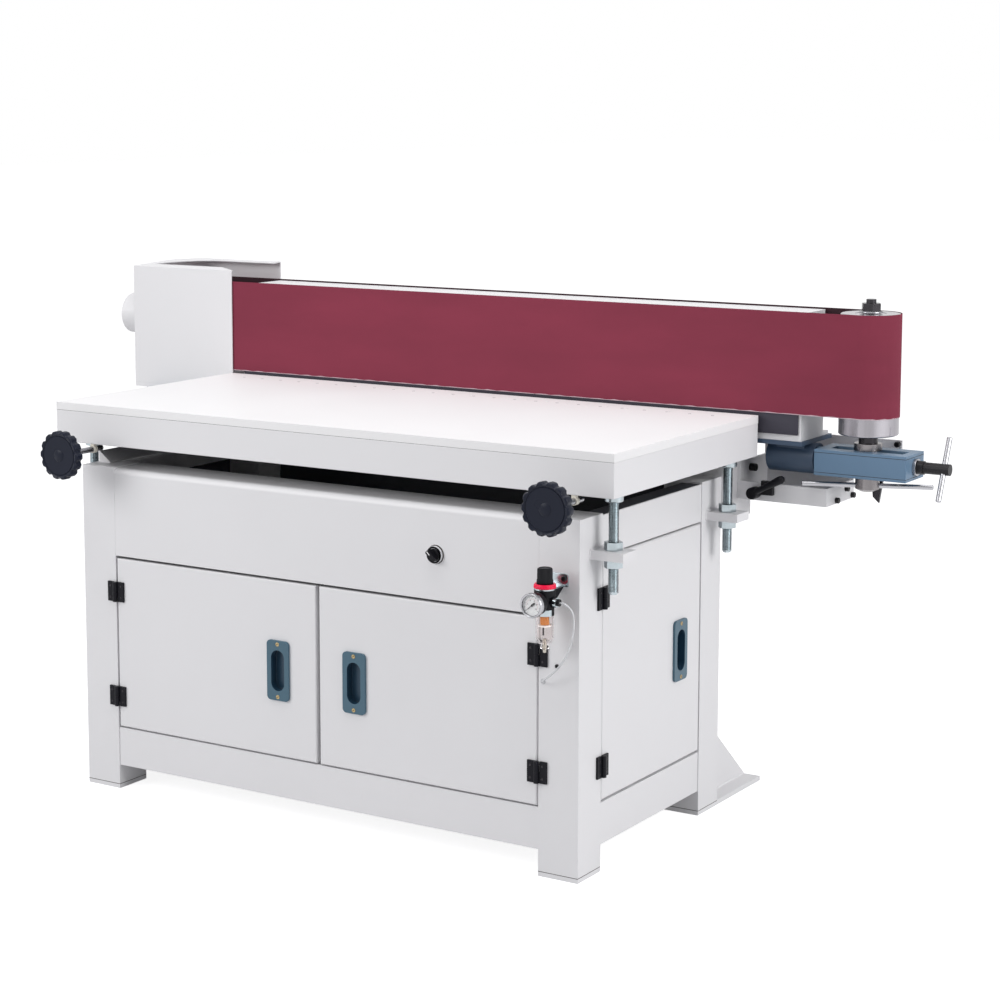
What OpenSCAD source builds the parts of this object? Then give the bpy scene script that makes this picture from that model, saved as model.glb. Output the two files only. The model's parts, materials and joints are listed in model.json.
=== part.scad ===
// Edge sander: cabinet, lifting table and upright sanding belt between two drums.
// Millimetres. X runs right along the front, Y runs back, Z is up, the floor is Z = 0.

/* [Cabinet] */
// Length over the legs
cab_length = 1200; // [1150:5:1250]
// Depth over the legs
cab_depth = 580; // [560:5:600]
// Height of the legs
leg_height = 688; // [680:2:700]
// Side of a leg
leg_size = 86; // [80:1:92]
// Wall of a leg
leg_wall = 4; // [3:0.5:6]
// Bottom rail underside
rail_low = 51; // [40:1:60]
// Bottom rail top
rail_top = 133; // [125:1:135]
// Depth of a rail
rail_depth = 40; // [30:1:45]
// Set-back of rails and sheets behind the leg faces
inset = 2; // [1:0.5:4]
// Sheet thickness of the panels
sheet = 3; // [2:0.5:4]
// Depth of the front panel's top fold
fold_depth = 95; // [80:1:110]
// Reach of the rear feet behind the legs
foot_reach = 208; // [198:2:212]
// Thickness of the rear feet
foot_plate = 10; // [8:0.5:12]
// Height of the foot gussets
gusset_height = 190; // [180:1:200]

/* [Doors] */
// Underside of the doors
door_low = 136; // [136:1:145]
// Top of the front doors below the leg tops
door_drop = 191; // [170:1:210]
// Top of the side door below the leg tops
side_drop = 83; // [80:1:90]
// Where the front doors meet, right of the middle
split_off = 6; // [-10:1:20]
// Gap round a door
door_gap = 3; // [2:0.25:4]
// Gap between the front doors
split_gap = 8; // [5:0.25:10]
// Gap over the front doors
head_gap = 5; // [3:0.25:6]
// Thickness of a door
door_thick = 20; // [18:0.5:25]
// Height of a hinge
hinge_height = 42; // [36:1:50]
// Width of one hinge leaf
hinge_leaf = 21; // [18:0.5:25]
// Radius of a hinge barrel
barrel_r = 5; // [4:0.1:5.2]
// Radius of a hinge pin
pin_r = 2; // [1.5:0.1:2.5]
// Running clearance round a hinge pin
pin_clear = 0.1; // [0.05:0.01:0.1]
// Width of a flush pull
pull_width = 54; // [50:1:60]
// Height of a flush pull
pull_height = 123; // [118:1:130]
// Corner radius of a flush pull
pull_corner = 9; // [6:0.5:11]
// Width of a finger recess
recess_width = 32; // [28:1:34]
// Height of a finger recess
recess_height = 83; // [76:1:86]
// Depth of the recess cup behind the door face
cup_depth = 15; // [12:0.5:16]

/* [Table] */
// Overhang of the table past the legs
table_over = 70; // [68:1:76]
// Overhang of the table behind the legs
table_behind = 20; // [16:1:24]
// Height of the table top above the legs
table_rise = 128; // [124:1:132]
// Thickness of the top plate
table_plate = 16; // [14:1:18]
// Height of the skirt
skirt_height = 67; // [63:1:69]
// Thickness of the skirt bars
skirt_bar = 12; // [10:1:16]
// Radius of a lifting screw
screw_r = 10; // [8:0.5:11]
// Clearance round a lifting screw
screw_clear = 0.3; // [0.2:0.05:0.5]
// Length of a lifting screw below its collar
screw_length = 174; // [165:1:180]
// Height of the collar under the skirt
collar_height = 16; // [14:1:20]
// Across flats of the nuts
nut_flats = 31; // [28:1:33]
// Height of the nuts
nut_height = 16; // [13:1:18]
// Top of the lifting brackets below the leg tops
bracket_drop = 62; // [56:1:68]
// Thickness of the lifting brackets
bracket_thick = 17; // [14:1:20]
// Radius of the clamp knobs
knob_r = 51; // [46:1:54]
// Thickness of the clamp knobs
knob_thick = 22; // [18:1:26]
// Radius of a knob shaft
shaft_r = 6; // [5:0.25:7]
// Running clearance of a knob shaft
shaft_clear = 0.1; // [0.05:0.01:0.1]

/* [Belt head] */
// Gap from the table to the belt
belt_gap = 8; // [6:0.5:10]
// Belt width
belt_width = 206; // [200:1:210]
// Belt thickness
belt_thick = 1; // [0.8:0.1:1.5]
// Clearance of the belt round the drums
belt_clear = 0.3; // [0.25:0.05:0.5]
// Radius of both drums
drum_r = 59.7; // [55:0.1:62]
// Bare drum below the belt
drum_below = 36; // [30:1:40]
// Idler axis from the right legs
idler_reach = 278; // [270:1:286]
// Drive axis left of the left legs
drive_reach = 230; // [222:1:238]
// Wall of the drums
drum_wall = 8; // [6:0.5:10]
// Radius of the idler shaft
idler_shaft_r = 15; // [13:0.25:16]
// Outer radius of the idler bearings
bearing_r = 31; // [28:0.5:34]
// Width of the idler bearings
bearing_width = 16; // [14:0.5:18]
// Running clearance of a shaft
run_clear = 0.05; // [0.03:0.01:0.1]
// Radius of the drive shaft
drive_shaft_r = 19; // [16:0.5:22]
// Thickness of the platen plate
platen_thick = 4.6; // [4:0.2:6]
// Wall of the platen channel
channel_wall = 6; // [5:0.5:8]
// Thickness of the channel's foot
channel_foot = 8; // [6:0.5:10]
// Guard past the drive drum on the left
guard_room = 75.3; // [70:0.1:85]
// Depth of the guard
guard_depth = 192; // [190:1:200]
// Front lip of the guard's top
lip_front = 47; // [40:1:52]
// Rear lip of the guard's top
lip_back = 30; // [25:1:36]
// Height of the guard above the drums
guard_rise = 26.5; // [24:0.5:34]
// Rise of the guard's top towards the back
guard_lift = 9; // [6:0.5:12]
// Guard sheet
guard_sheet = 3; // [2:0.25:4]
// Rear corner radius of the guard
guard_corner = 85; // [70:1:88]
// Radius of the dust pipe
pipe_r = 48; // [44:0.5:50]
// Wall of the dust pipe
pipe_wall = 3; // [2:0.25:4]
// Length of the dust pipe
pipe_length = 45; // [38:1:52]
// Radius of the motor body
motor_r = 98; // [90:1:104]
// Length of the motor body
motor_length = 250; // [220:2:270]

/* [Tension box] */
// Half width of the tension box
box_half = 47; // [44:0.5:50]
// Half height of the tension box
box_rise = 26; // [25:0.25:28]
// Wall of the tension box
box_wall = 8; // [7:0.25:9]
// Cover of the tension box
box_cover = 6; // [5:0.25:7]
// Sliding clearance of the slide block
slide_clear = 0.3; // [0.2:0.05:0.4]
// Slack travel of the idler
slack = 20; // [15:1:24]
// Radius of the arm tube
tube_r = 31.5; // [28:0.25:33]
// Radius of the tension screw thread
tension_r = 8; // [7:0.25:9]
// Radius of the tension screw handle end
handle_r = 11.5; // [10:0.25:12.5]
// Radius of the tee bar
tee_r = 5.5; // [4.5:0.1:6]
// Length of the tee bar
tee_length = 134; // [128:1:150]
// Lean of the tee bar in degrees
tee_lean = 24; // [0:1:30]
// Radius of the lock boss
lock_r = 24; // [22:0.5:28]
// Radius of the lock bar
lock_bar_r = 5; // [4:0.1:5.5]
// Length of the lock bar
lock_bar = 260; // [240:2:270]
// Angle of the lock bar in degrees
lock_turn = 21; // [15:1:25]

/* [Controls] */
// Selector in from the right end
selector_in = 314; // [300:1:340]
// Selector below the leg tops
selector_drop = 97; // [88:1:108]
// Radius of the selector bezel
selector_r = 17; // [15.5:0.25:18]
// Air unit axis from the right legs' outer face
air_in = 47; // [44:0.5:56]
// Air unit axis in front of the legs
air_out = 45; // [42:0.5:48]
// Air unit's lock ring below the leg tops
air_drop = 122.5; // [116:0.5:130]
// Radius of the filter bowl
bowl_r = 16.5; // [15:0.25:18]
// Radius of the pressure gauge
gauge_r = 22.5; // [19:0.25:23]
// Radius of the air tube
hose_r = 2; // [1.8:0.1:2.4]

/* [Hidden] */
$fn = 64;
eps = 0.02;
far_leg = cab_length - leg_size;
back_leg = cab_depth - leg_size;
table_depth = cab_depth + table_behind;
table_z = leg_height + table_rise;
door_top = leg_height - door_drop;
side_top = leg_height - side_drop;
door_split = cab_length / 2 + split_off;
bracket_z = leg_height - bracket_drop;
selector_x = cab_length - selector_in;
selector_z = leg_height - selector_drop;
air_z = leg_height - air_drop;
table_x0 = -table_over;
table_x1 = cab_length + table_over;
plate_z = table_z - table_plate;
skirt_z = plate_z - skirt_height;
// Screw places: left pair close to the legs, right pair on longer brackets
left_long = 52;
left_deep = 32;
right_long = 69.5;
right_deep = 53;
left_x = -34;
right_x = cab_length + right_long / 2;
front_left_y = leg_size - 10;
front_right_y = leg_size - 21.5;
rear_y = cab_depth - leg_size / 2 + 1;
screw_places = [[left_x, front_left_y], [left_x, rear_y], [right_x, front_right_y], [right_x, rear_y]];
nut_reach = 60;
knob_y = -94;
knob_in_left = 27;
knob_in_right = 14;
knob_z = skirt_z - 11;
shaft_end = 30;
// Belt and drums
belt_in = drum_r + belt_clear;
belt_out = belt_in + belt_thick;
axis_y = table_depth + belt_gap + belt_out;
drive_x = -drive_reach;
idler_x = cab_length + idler_reach;
belt_z0 = table_z + 6;
belt_z1 = belt_z0 + belt_width;
drum_z0 = belt_z0 - drum_below;
drum_z1 = belt_z1 - 0.5;
foot_z0 = drum_z0 - 19;
foot_z1 = foot_z0 + channel_foot;
web_y = axis_y - belt_in + 0.4 + platen_thick;
channel_x1 = idler_x - 121;
channel_z1 = belt_z1 - 3;
bed_x0 = -20;
bed_back = axis_y + belt_in - 6;
bed_ribs = [0.2083 * cab_length, 0.5417 * cab_length, 0.875 * cab_length];
// Guard plan
guard_x0 = drive_x - drum_r - guard_room;
guard_x1 = table_x0 - 1;
guard_y0 = table_depth + 3;
guard_y1 = guard_y0 + guard_depth;
guard_z0 = foot_z1 + 1;
guard_z1 = drum_z1 + guard_rise;
guard_tilt = atan(guard_lift / guard_depth);
base_z0 = foot_z0 - 1;
pipe_y = guard_y0 + pipe_r + 5;
pipe_rise = 160;
pipe_z = guard_z0 + pipe_rise;
// Arm and tension box
arm_z1 = foot_z0;
arm_z0 = arm_z1 - 9;
box_z = arm_z0 - tube_r + 1.5;
box_back = 95;
box_front = 99;
box_x0 = idler_x - box_back;
box_x1 = idler_x + box_front;
cav_x0 = box_x0 + 10;
cav_x1 = box_x1 - 10;
cav_y = box_half - box_wall;
cav_z = box_rise - box_cover;
block_back = 40;
block_front = 50;
handle_out = 73;
handle_end = box_x1 + handle_out;
tee_x = handle_end - 13;
lock_z1 = box_z - box_rise - 0.5;
lock_z0 = lock_z1 - 30;
lock_bar_z = lock_z1 - 19;
// End bracket beside the rear right leg
side_x0 = cab_length - 8;
side_x1 = cab_length + 6;
plate_low = leg_height - 95;
plate_top = leg_height + 24;
tray_short = 74;
tray_x1 = idler_x - tray_short;
tray_y0 = table_depth + 40;
tray_deep = 138;
tray_y1 = tray_y0 + tray_deep;
tray_z0 = leg_height - 53;
tray_z1 = leg_height - 16;
tray_sheet = 6;
wall_x1 = idler_x + 30;
wall_z1 = box_z + box_rise + 8;
wall_high = 56;
bolt_r = 6;
lever_out = 50;
lever_x = cab_length + lever_out;
lever_z = leg_height - 36;
lever_pin_r = 6;
lever_hub_r = 12;
lever_arm_r = 8;
lever_turn = 62;
lever_arm = 72;
// Beam behind the legs that carries the belt bed
beam_z0 = leg_height - 48;
beam_z1 = leg_height + 12;
beam_depth = 140;
beam_wall = 6;
post_wide = 80;
post_places = [0.1 * cab_length, 0.4667 * cab_length, 0.8333 * cab_length];
side_y1 = cab_depth + beam_depth - 14;
// Air unit
air_x = cab_length - air_in;
air_y = -air_out;
gauge_y0 = air_y - 50;
gauge_z = air_z - 24.5;
bowl_z0 = air_z - 103.5;
bowl_z1 = air_z - 50.5;
outlet_x = air_x + 32;
// Middle of the whole object in plan
x_min = guard_x0 - pipe_length;
x_max = handle_end;
y_min = knob_y - knob_thick / 2;
y_max = guard_y1;
mid_x = (x_min + x_max) / 2;
mid_y = (y_min + y_max) / 2;

module place() {
    translate([-mid_x, -mid_y, 0]) children();
}

module block(x0, x1, y0, y1, z0, z1) {
    translate([x0, y0, z0]) cube([x1 - x0, y1 - y0, z1 - z0]);
}

module rod_x(x0, x1, y, z, r) {
    translate([x0, y, z]) rotate([0, 90, 0]) cylinder(h = x1 - x0, r = r);
}

module rod_y(x, y0, y1, z, r) {
    translate([x, y0, z]) rotate([-90, 0, 0]) cylinder(h = y1 - y0, r = r);
}

module rod_z(x, y, z0, z1, r) {
    translate([x, y, z0]) cylinder(h = z1 - z0, r = r);
}

hex_turn = 17;

module hex_z(x, y, z0, z1, flats) {
    translate([x, y, z0]) rotate([0, 0, hex_turn]) cylinder(h = z1 - z0, r = flats / sqrt(3), $fn = 6);
}

// Cabinet: plates that close the legs, upper rails, sloping strip, front panel's bend, floor pan and gussets
leg_floor = 10;
leg_cap = 5;
leg_hole_r = 15;
hose_hole = 2.5;
upper_z0 = leg_height - 44;
upper_z1 = leg_height - 4;
strip_x = 8;
strip_wide = 30;
strip_rise = 24;
strip_edge = 3;
bend_r = 12;
bend_z = leg_height - inset - bend_r;
pan_z = rail_top - 33;
gusset_thick = 10;
gusset_toe = 2;

module leg(x, y) {
    difference() {
        block(x, x + leg_size, y, y + leg_size, 0, leg_height);
        block(x + leg_wall, x + leg_size - leg_wall, y + leg_wall, y + leg_size - leg_wall,
            leg_floor, leg_height - leg_cap);
        rod_z(x + leg_size / 2, y + leg_size / 2, -1, leg_floor + 1, leg_hole_r);
        if (x > 0 && y == 0) rod_y(hose_end[0], -1, leg_wall + 1, hose_end[2], hose_r + hose_hole);
    }
}

module legs() {
    color([0.88, 0.88, 0.89]) place() {
        leg(0, 0);
        leg(far_leg, 0);
        leg(0, back_leg);
        leg(far_leg, back_leg);
    }
}

// Square tubes, open at both ends, welded between the legs
module rail_x(y, z0, z1) {
    difference() {
        block(leg_size, far_leg, y, y + rail_depth, z0, z1);
        block(leg_size - 1, far_leg + 1, y + sheet, y + rail_depth - sheet, z0 + sheet, z1 - sheet);
    }
}

module rail_y(x, z0, z1) {
    difference() {
        block(x, x + rail_depth, leg_size, back_leg, z0, z1);
        block(x + sheet, x + rail_depth - sheet, leg_size - 1, back_leg + 1, z0 + sheet, z1 - sheet);
    }
}

module rails() {
    color([0.88, 0.88, 0.89]) place() {
        rail_x(inset, rail_low, rail_top);
        rail_x(cab_depth - inset - rail_depth, rail_low, rail_top);
        rail_y(inset, rail_low, rail_top);
        rail_y(cab_length - inset - rail_depth, rail_low, rail_top);
        rail_x(cab_depth - inset - sheet - rail_depth, upper_z0, upper_z1);
        rail_y(inset + sheet, upper_z0, upper_z1);
        rail_y(cab_length - inset - sheet - rail_depth, upper_z0, upper_z1);
        rear_foot(0);
        rear_foot(far_leg);
        // Sloping strip on top of the left legs
        translate([0, cab_depth - leg_size / 2, leg_height]) rotate([90, 0, 0])
            linear_extrude(height = cab_depth - leg_size)
            polygon([[strip_x, 0], [strip_x + strip_wide, 0], [strip_x + strip_wide, strip_edge],
                [strip_x + strip_edge, strip_rise], [strip_x, strip_rise]]);
    }
}

module panels() {
    color([0.88, 0.88, 0.89]) place() {
        difference() {
            union() {
                block(leg_size, far_leg, 0, sheet, door_top + head_gap, bend_z);
                block(leg_size, far_leg, bend_r, fold_depth, leg_height - inset - sheet, leg_height - inset);
                intersection() {
                    difference() {
                        rod_x(leg_size, far_leg, bend_r, bend_z, bend_r);
                        rod_x(leg_size - 1, far_leg + 1, bend_r, bend_z, bend_r - sheet);
                    }
                    block(leg_size, far_leg, 0, bend_r, bend_z, leg_height - inset);
                }
            }
            rod_y(selector_x, -1, sheet + 1, selector_z, selector_neck);
        }
        block(inset, inset + sheet, leg_size, back_leg, rail_top, upper_z1);
        block(cab_length - inset - sheet, cab_length - inset, leg_size, back_leg,
            side_top + door_gap, upper_z1);
        block(leg_size, far_leg, cab_depth - inset - sheet, cab_depth - inset, rail_top, upper_z1);
        block(leg_size, far_leg, inset + rail_depth, cab_depth - inset - rail_depth, pan_z, pan_z + sheet);
    }
}

module rear_foot(x) {
    block(x, x + leg_size, cab_depth, cab_depth + foot_reach, 0, foot_plate);
    translate([x + leg_size / 2 - gusset_thick / 2, cab_depth, foot_plate]) rotate([90, 0, 90])
        linear_extrude(height = gusset_thick)
        polygon([[0, 0], [foot_reach, 0], [foot_reach, gusset_toe], [0, gusset_height - foot_plate]]);
}

module lift_brackets() {
    color([0.88, 0.88, 0.87]) place() difference() {
        union() {
            for (y = [front_left_y, rear_y])
                block(-left_long, 0, y - left_deep / 2, y + left_deep / 2,
                    bracket_z - bracket_thick, bracket_z);
            for (y = [front_right_y, rear_y])
                block(cab_length, cab_length + right_long, y - right_deep / 2, y + right_deep / 2,
                    bracket_z - bracket_thick, bracket_z);
        }
        screw_holes(bracket_z - bracket_thick - 1, bracket_z + 1);
    }
}

module screw_holes(z0, z1) {
    for (p = screw_places) rod_z(p[0], p[1], z0, z1, screw_r + screw_clear);
}

module lift_nuts() {
    color([0.66, 0.71, 0.73]) place() difference() {
        for (p = screw_places) {
            hex_z(p[0], p[1], bracket_z, bracket_z + nut_height, nut_flats);
            hex_z(p[0], p[1], bracket_z - bracket_thick - nut_height, bracket_z - bracket_thick, nut_flats);
        }
        screw_holes(bracket_z - nut_reach, bracket_z + nut_reach);
    }
}

// Doors: skin and folded edge of a leaf, room round a cup, plate of a pull and its screws, leaf and knuckle
// sizes of a hinge
door_skin = 2.5;
door_bend = 4;
cup_room = 7;
cup_wall = 3;
pull_plate = 5;
pull_screw_r = 4;
pull_screw_high = 1.2;
pull_screw_off = recess_height / 2 + 12.5;
leaf_thick = 4;
leaf_start = barrel_r + 1.1;
barrel_y = -barrel_r - 0.5;
knuckle_gap = 0.3;

module stadium(w, h, y0, y1) {
    translate([0, y1, 0]) rotate([90, 0, 0]) linear_extrude(height = y1 - y0) {
        square([w, h - w], center = true);
        translate([0, (h - w) / 2]) circle(r = w / 2);
        translate([0, -(h - w) / 2]) circle(r = w / 2);
    }
}

// Outline across a door leaf, with both front edges rounded
module folded(length) {
    translate([0, door_bend]) square([length, door_thick - door_bend]);
    translate([door_bend, 0]) square([length - 2 * door_bend, door_thick]);
    for (x = [door_bend, length - door_bend]) translate([x, door_bend]) circle(r = door_bend);
}

// Door leaf seen from its own front: x along the face, y into the cabinet
module door(width, height, pull_x, pull_z) {
    difference() {
        intersection() {
            linear_extrude(height = height) folded(width);
            translate([0, 0, height]) rotate([0, 90, 0]) linear_extrude(height = width) folded(height);
        }
        block(door_skin, width - door_skin, door_skin, door_thick + 1, door_skin, height - door_skin);
        translate([pull_x, 0, pull_z])
            stadium(recess_width + cup_room, recess_height + cup_room, -1, door_skin + 1);
    }
}

module pull_face() {
    corner_x = pull_width / 2 - pull_corner;
    corner_z = pull_height / 2 - pull_corner;
    rotate([90, 0, 0]) linear_extrude(height = pull_plate) {
        square([pull_width, 2 * corner_z], center = true);
        square([2 * corner_x, pull_height], center = true);
        for (i = [-1, 1]) for (k = [-1, 1]) translate([i * corner_x, k * corner_z]) circle(r = pull_corner);
    }
}

module pull() {
    difference() {
        union() {
            pull_face();
            stadium(recess_width + 2 * cup_wall, recess_height + 2 * cup_wall, -eps, cup_depth);
            for (s = [-1, 1])
                rod_y(0, -pull_plate - pull_screw_high, -pull_plate + eps, s * pull_screw_off, pull_screw_r);
        }
        stadium(recess_width, recess_height, -2 * pull_plate, cup_depth - cup_wall + 1);
    }
}

module frame_leaf() {
    block(-hinge_leaf, -leaf_start, -leaf_thick, 0, -hinge_height / 2, hinge_height / 2);
    block(-leaf_start - eps, 0, -leaf_thick, 0, -hinge_height / 2, -knuckle_gap);
    rod_z(0, barrel_y, -hinge_height / 2, -knuckle_gap, barrel_r);
    rod_z(0, barrel_y, -hinge_height / 2, hinge_height / 2, pin_r);
}

module door_leaf() {
    difference() {
        union() {
            block(leaf_start, hinge_leaf, -leaf_thick, 0, -hinge_height / 2, hinge_height / 2);
            block(0, leaf_start + eps, -leaf_thick, 0, 0, hinge_height / 2);
            rod_z(0, barrel_y, 0, hinge_height / 2, barrel_r);
        }
        rod_z(0, barrel_y, -hinge_height, hinge_height, pin_r + pin_clear);
    }
}

left_door_x = leg_size + door_gap;
left_door_w = door_split - split_gap / 2 - left_door_x;
right_door_x = door_split + split_gap / 2;
right_door_w = far_leg - door_gap - right_door_x;
side_door_y = leg_size + door_gap;
side_door_w = back_leg - door_gap - side_door_y;
front_door_h = door_top - door_low;
side_door_low = door_low + 2;
side_door_h = side_top - side_door_low;
pull_z = (door_low + door_top) / 2 - 2.5;
side_pull_z = (door_low + side_top) / 2 - 5.5;
left_pull_x = door_split - 95.5;
right_pull_x = door_split + 90.5;
side_pull_y = back_leg - 93;
front_hinges = [door_low + 66, door_top - 71];
side_hinges = [door_low + 69, side_top - 77];

module at_left_hinge(z) {
    translate([leg_size + door_gap / 2, 0, z]) children();
}

module at_right_hinge(z) {
    translate([far_leg - door_gap / 2, 0, z]) mirror([1, 0, 0]) children();
}

module at_side_hinge(z) {
    translate([cab_length, leg_size + door_gap / 2, z]) rotate([0, 0, 90]) children();
}

module hinge_frame_leaves() {
    color([0.11, 0.11, 0.14]) place() {
        for (z = front_hinges) at_left_hinge(z) frame_leaf();
        for (z = front_hinges) at_right_hinge(z) frame_leaf();
        for (z = side_hinges) at_side_hinge(z) frame_leaf();
    }
}

module hinge_leaves_left() {
    color([0.11, 0.11, 0.14]) place() for (z = front_hinges) at_left_hinge(z) door_leaf();
}

module hinge_leaves_right() {
    color([0.11, 0.11, 0.14]) place() for (z = front_hinges) at_right_hinge(z) door_leaf();
}

module hinge_leaves_side() {
    color([0.11, 0.11, 0.14]) place() for (z = side_hinges) at_side_hinge(z) door_leaf();
}

module door_left() {
    color([0.88, 0.88, 0.89]) place() translate([left_door_x, 0, door_low])
        door(left_door_w, front_door_h, left_pull_x - left_door_x, pull_z - door_low);
}

module door_right() {
    color([0.88, 0.88, 0.89]) place() translate([right_door_x, 0, door_low])
        door(right_door_w, front_door_h, right_pull_x - right_door_x, pull_z - door_low);
}

module door_side() {
    color([0.86, 0.86, 0.87]) place() translate([cab_length, side_door_y, side_door_low]) rotate([0, 0, 90])
        door(side_door_w, side_door_h, side_pull_y - side_door_y, side_pull_z - side_door_low);
}

module pull_left() {
    color([0.33, 0.47, 0.55]) place() translate([left_pull_x, 0, pull_z]) pull();
}

module pull_right() {
    color([0.33, 0.47, 0.55]) place() translate([right_pull_x, 0, pull_z]) pull();
}

module pull_side() {
    color([0.33, 0.47, 0.55]) place()
        translate([cab_length, side_pull_y, side_pull_z]) rotate([0, 0, 90]) pull();
}

// Table: row of small holes, ribs, pads over the screws, screw collars, knob bosses and knobs
hole_count = 20;
hole_first = cab_length * 0.231;
hole_step = cab_length * 0.04;
hole_y = table_depth - 45;
hole_deep = 6;
hole_r = 3;
rib_half = 7;
rib_deep = 40;
pad_half = 22;
collar_r = 18;
boss_r = shaft_r + 2;
boss_deep = 10;
boss_neck = 5;
knob_places = [knob_in_left, cab_length - knob_in_right];
knob_edge = 5;
knob_round = 1.5;
lobe_count = 14;
lobe_r = 6.5;
lobe_out = 3;
face_deep = 2;
face_r = knob_r - 9;
hub_r = 13;

module table_top() {
    color([0.95, 0.95, 0.95]) place() difference() {
        block(table_x0, table_x1, 0, table_depth, plate_z, table_z);
        for (i = [0:hole_count - 1])
            rod_z(hole_first + i * hole_step, hole_y, table_z - hole_deep, table_z + 1, hole_r);
    }
}

module table_skirt() {
    color([0.88, 0.88, 0.89]) place() {
        block(table_x0, table_x1, 0, skirt_bar, skirt_z, plate_z);
        block(table_x0, table_x1, table_depth - skirt_bar, table_depth, skirt_z, plate_z);
        block(table_x0, table_x0 + skirt_bar, skirt_bar, table_depth - skirt_bar, skirt_z, plate_z);
        block(table_x1 - skirt_bar, table_x1, skirt_bar, table_depth - skirt_bar, skirt_z, plate_z);
        for (x = [cab_length / 4, cab_length / 2, cab_length * 3 / 4])
            block(x - rib_half, x + rib_half, skirt_bar, table_depth - skirt_bar,
                plate_z - rib_deep, plate_z);
        for (p = screw_places) {
            pad_x0 = p[0] < 0 ? table_x0 : p[0] - pad_half;
            pad_x1 = p[0] < 0 ? p[0] + pad_half : table_x1;
            block(pad_x0, pad_x1, p[1] - pad_half, p[1] + pad_half, skirt_z, plate_z);
        }
    }
}

module lift_screws() {
    color([0.66, 0.71, 0.73]) place() for (p = screw_places) {
        rod_z(p[0], p[1], skirt_z - collar_height - screw_length, skirt_z - collar_height, screw_r);
        rod_z(p[0], p[1], skirt_z - collar_height, skirt_z, collar_r);
    }
}

module knob_bosses() {
    color([0.86, 0.85, 0.81]) place() for (x = knob_places) difference() {
        union() {
            rod_y(x, 0, boss_deep, knob_z, boss_r);
            block(x - boss_neck, x + boss_neck, 1, boss_deep - 1, knob_z, skirt_z);
        }
        rod_y(x, -1, boss_deep + 1, knob_z, shaft_r + shaft_clear);
    }
}

module knob(x) {
    translate([x, knob_y, knob_z]) rotate([90, 0, 0]) difference() {
        rotate_extrude() polygon([[0, -knob_thick / 2], [knob_r - knob_edge, -knob_thick / 2],
            [knob_r - knob_round, knob_round - knob_thick / 3], [knob_r, 0],
            [knob_r - knob_round, knob_thick / 3 - knob_round], [knob_r - knob_edge, knob_thick / 2],
            [0, knob_thick / 2]]);
        for (i = [0:lobe_count - 1]) rotate([0, 0, i * 360 / lobe_count])
            translate([knob_r + lobe_out, 0, -knob_thick]) cylinder(h = 2 * knob_thick, r = lobe_r);
        translate([0, 0, knob_thick / 2 - face_deep]) difference() {
            cylinder(h = face_deep + 1, r = face_r);
            translate([0, 0, -1]) cylinder(h = 2 * face_deep + 1, r = hub_r);
        }
        translate([0, 0, -knob_thick]) cylinder(h = knob_thick, r = shaft_r);
    }
}

module knob_left() {
    color([0.15, 0.17, 0.22]) place() knob(knob_places[0]);
}

module knob_right() {
    color([0.15, 0.17, 0.22]) place() knob(knob_places[1]);
}

module shaft_left() {
    color([0.72, 0.72, 0.73]) place() rod_y(knob_places[0], knob_y, shaft_end, knob_z, shaft_r);
}

module shaft_right() {
    color([0.72, 0.72, 0.73]) place() rod_y(knob_places[1], knob_y, shaft_end, knob_z, shaft_r);
}

// Selector switch: bezel, neck through the panel, stem and the bar of the handle
selector_neck = selector_r - 4;
stem_r = selector_r - 7;
handle_disc_r = selector_r - 4.5;
bezel_high = 7;
handle_high = 20;
disc_high = 10;
bar_half = 4.5;
bar_turn = 45;
neck_end = 26;
stem_hole_end = 20;
stem_end = 12;
handle_clear = 0.3;

module selector_bezel() {
    color([0.75, 0.75, 0.77]) place() difference() {
        union() {
            rod_y(selector_x, -bezel_high, 0, selector_z, selector_r);
            rod_y(selector_x, -eps, neck_end, selector_z, selector_neck);
        }
        rod_y(selector_x, -bezel_high - 1, stem_hole_end, selector_z, stem_r);
    }
}

module selector_handle() {
    color([0.09, 0.09, 0.11]) place() {
        rod_y(selector_x, -bezel_high - 2 * handle_clear, stem_end, selector_z, stem_r - run_clear);
        difference() {
            rod_y(selector_x, -handle_high, -bezel_high - handle_clear, selector_z, handle_disc_r);
            translate([selector_x, 0, selector_z]) rotate([0, -bar_turn, 0]) {
                for (s = [-1, 1]) translate([s * (bar_half + selector_r), 0, 0])
                    block(-selector_r, selector_r, -handle_high - 1, -disc_high,
                        -2 * selector_r, 2 * selector_r);
            }
        }
    }
}

// Air filter and regulator: bracket plate, collar on the body, ports, web and knob
plate_thick = 2.5;
plate_x0 = air_x - 20;
plate_x1 = air_x + 24;
plate_z0 = air_z - 4;
plate_z1 = air_z + 20;
plate_corner = 6;
shelf_thick = 3;
shelf_half = 16;
collar_out_r = 19.5;
collar_in_r = 16;
neck_r = 15.8;
ring_high = 8;
port_r = 10;
port_out = 20;
port_bore_r = 6.6;
port_in = 8;
needle_r = 1.5;
needle_rest = 130;
dial_r = gauge_r - 3.4;
inlet_x = air_x - 33;
inlet_r = 4.5;
inlet_deep = 20;
hose_room = 0.3;
web_thick = 4;
web_clear = 0.1;
web_x = air_x + 12;
web_reach = 8;
web_high = 22.9;
web_z1 = air_z - shelf_thick - web_clear;
body_bend = 6;
body_shoulder = 11;
ring_wide = 5;
ring_taper = 0.6;
stem_hole_r = 8.1;
knob_stem_r = 8;
knob_stem_low = 3;
grip_z0 = air_z + ring_high + 0.4;
grip_z1 = air_z + 37.5;
grip_r = 15.3;
grip_neck_r = 14.2;
grip_band = 6.6;

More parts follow.
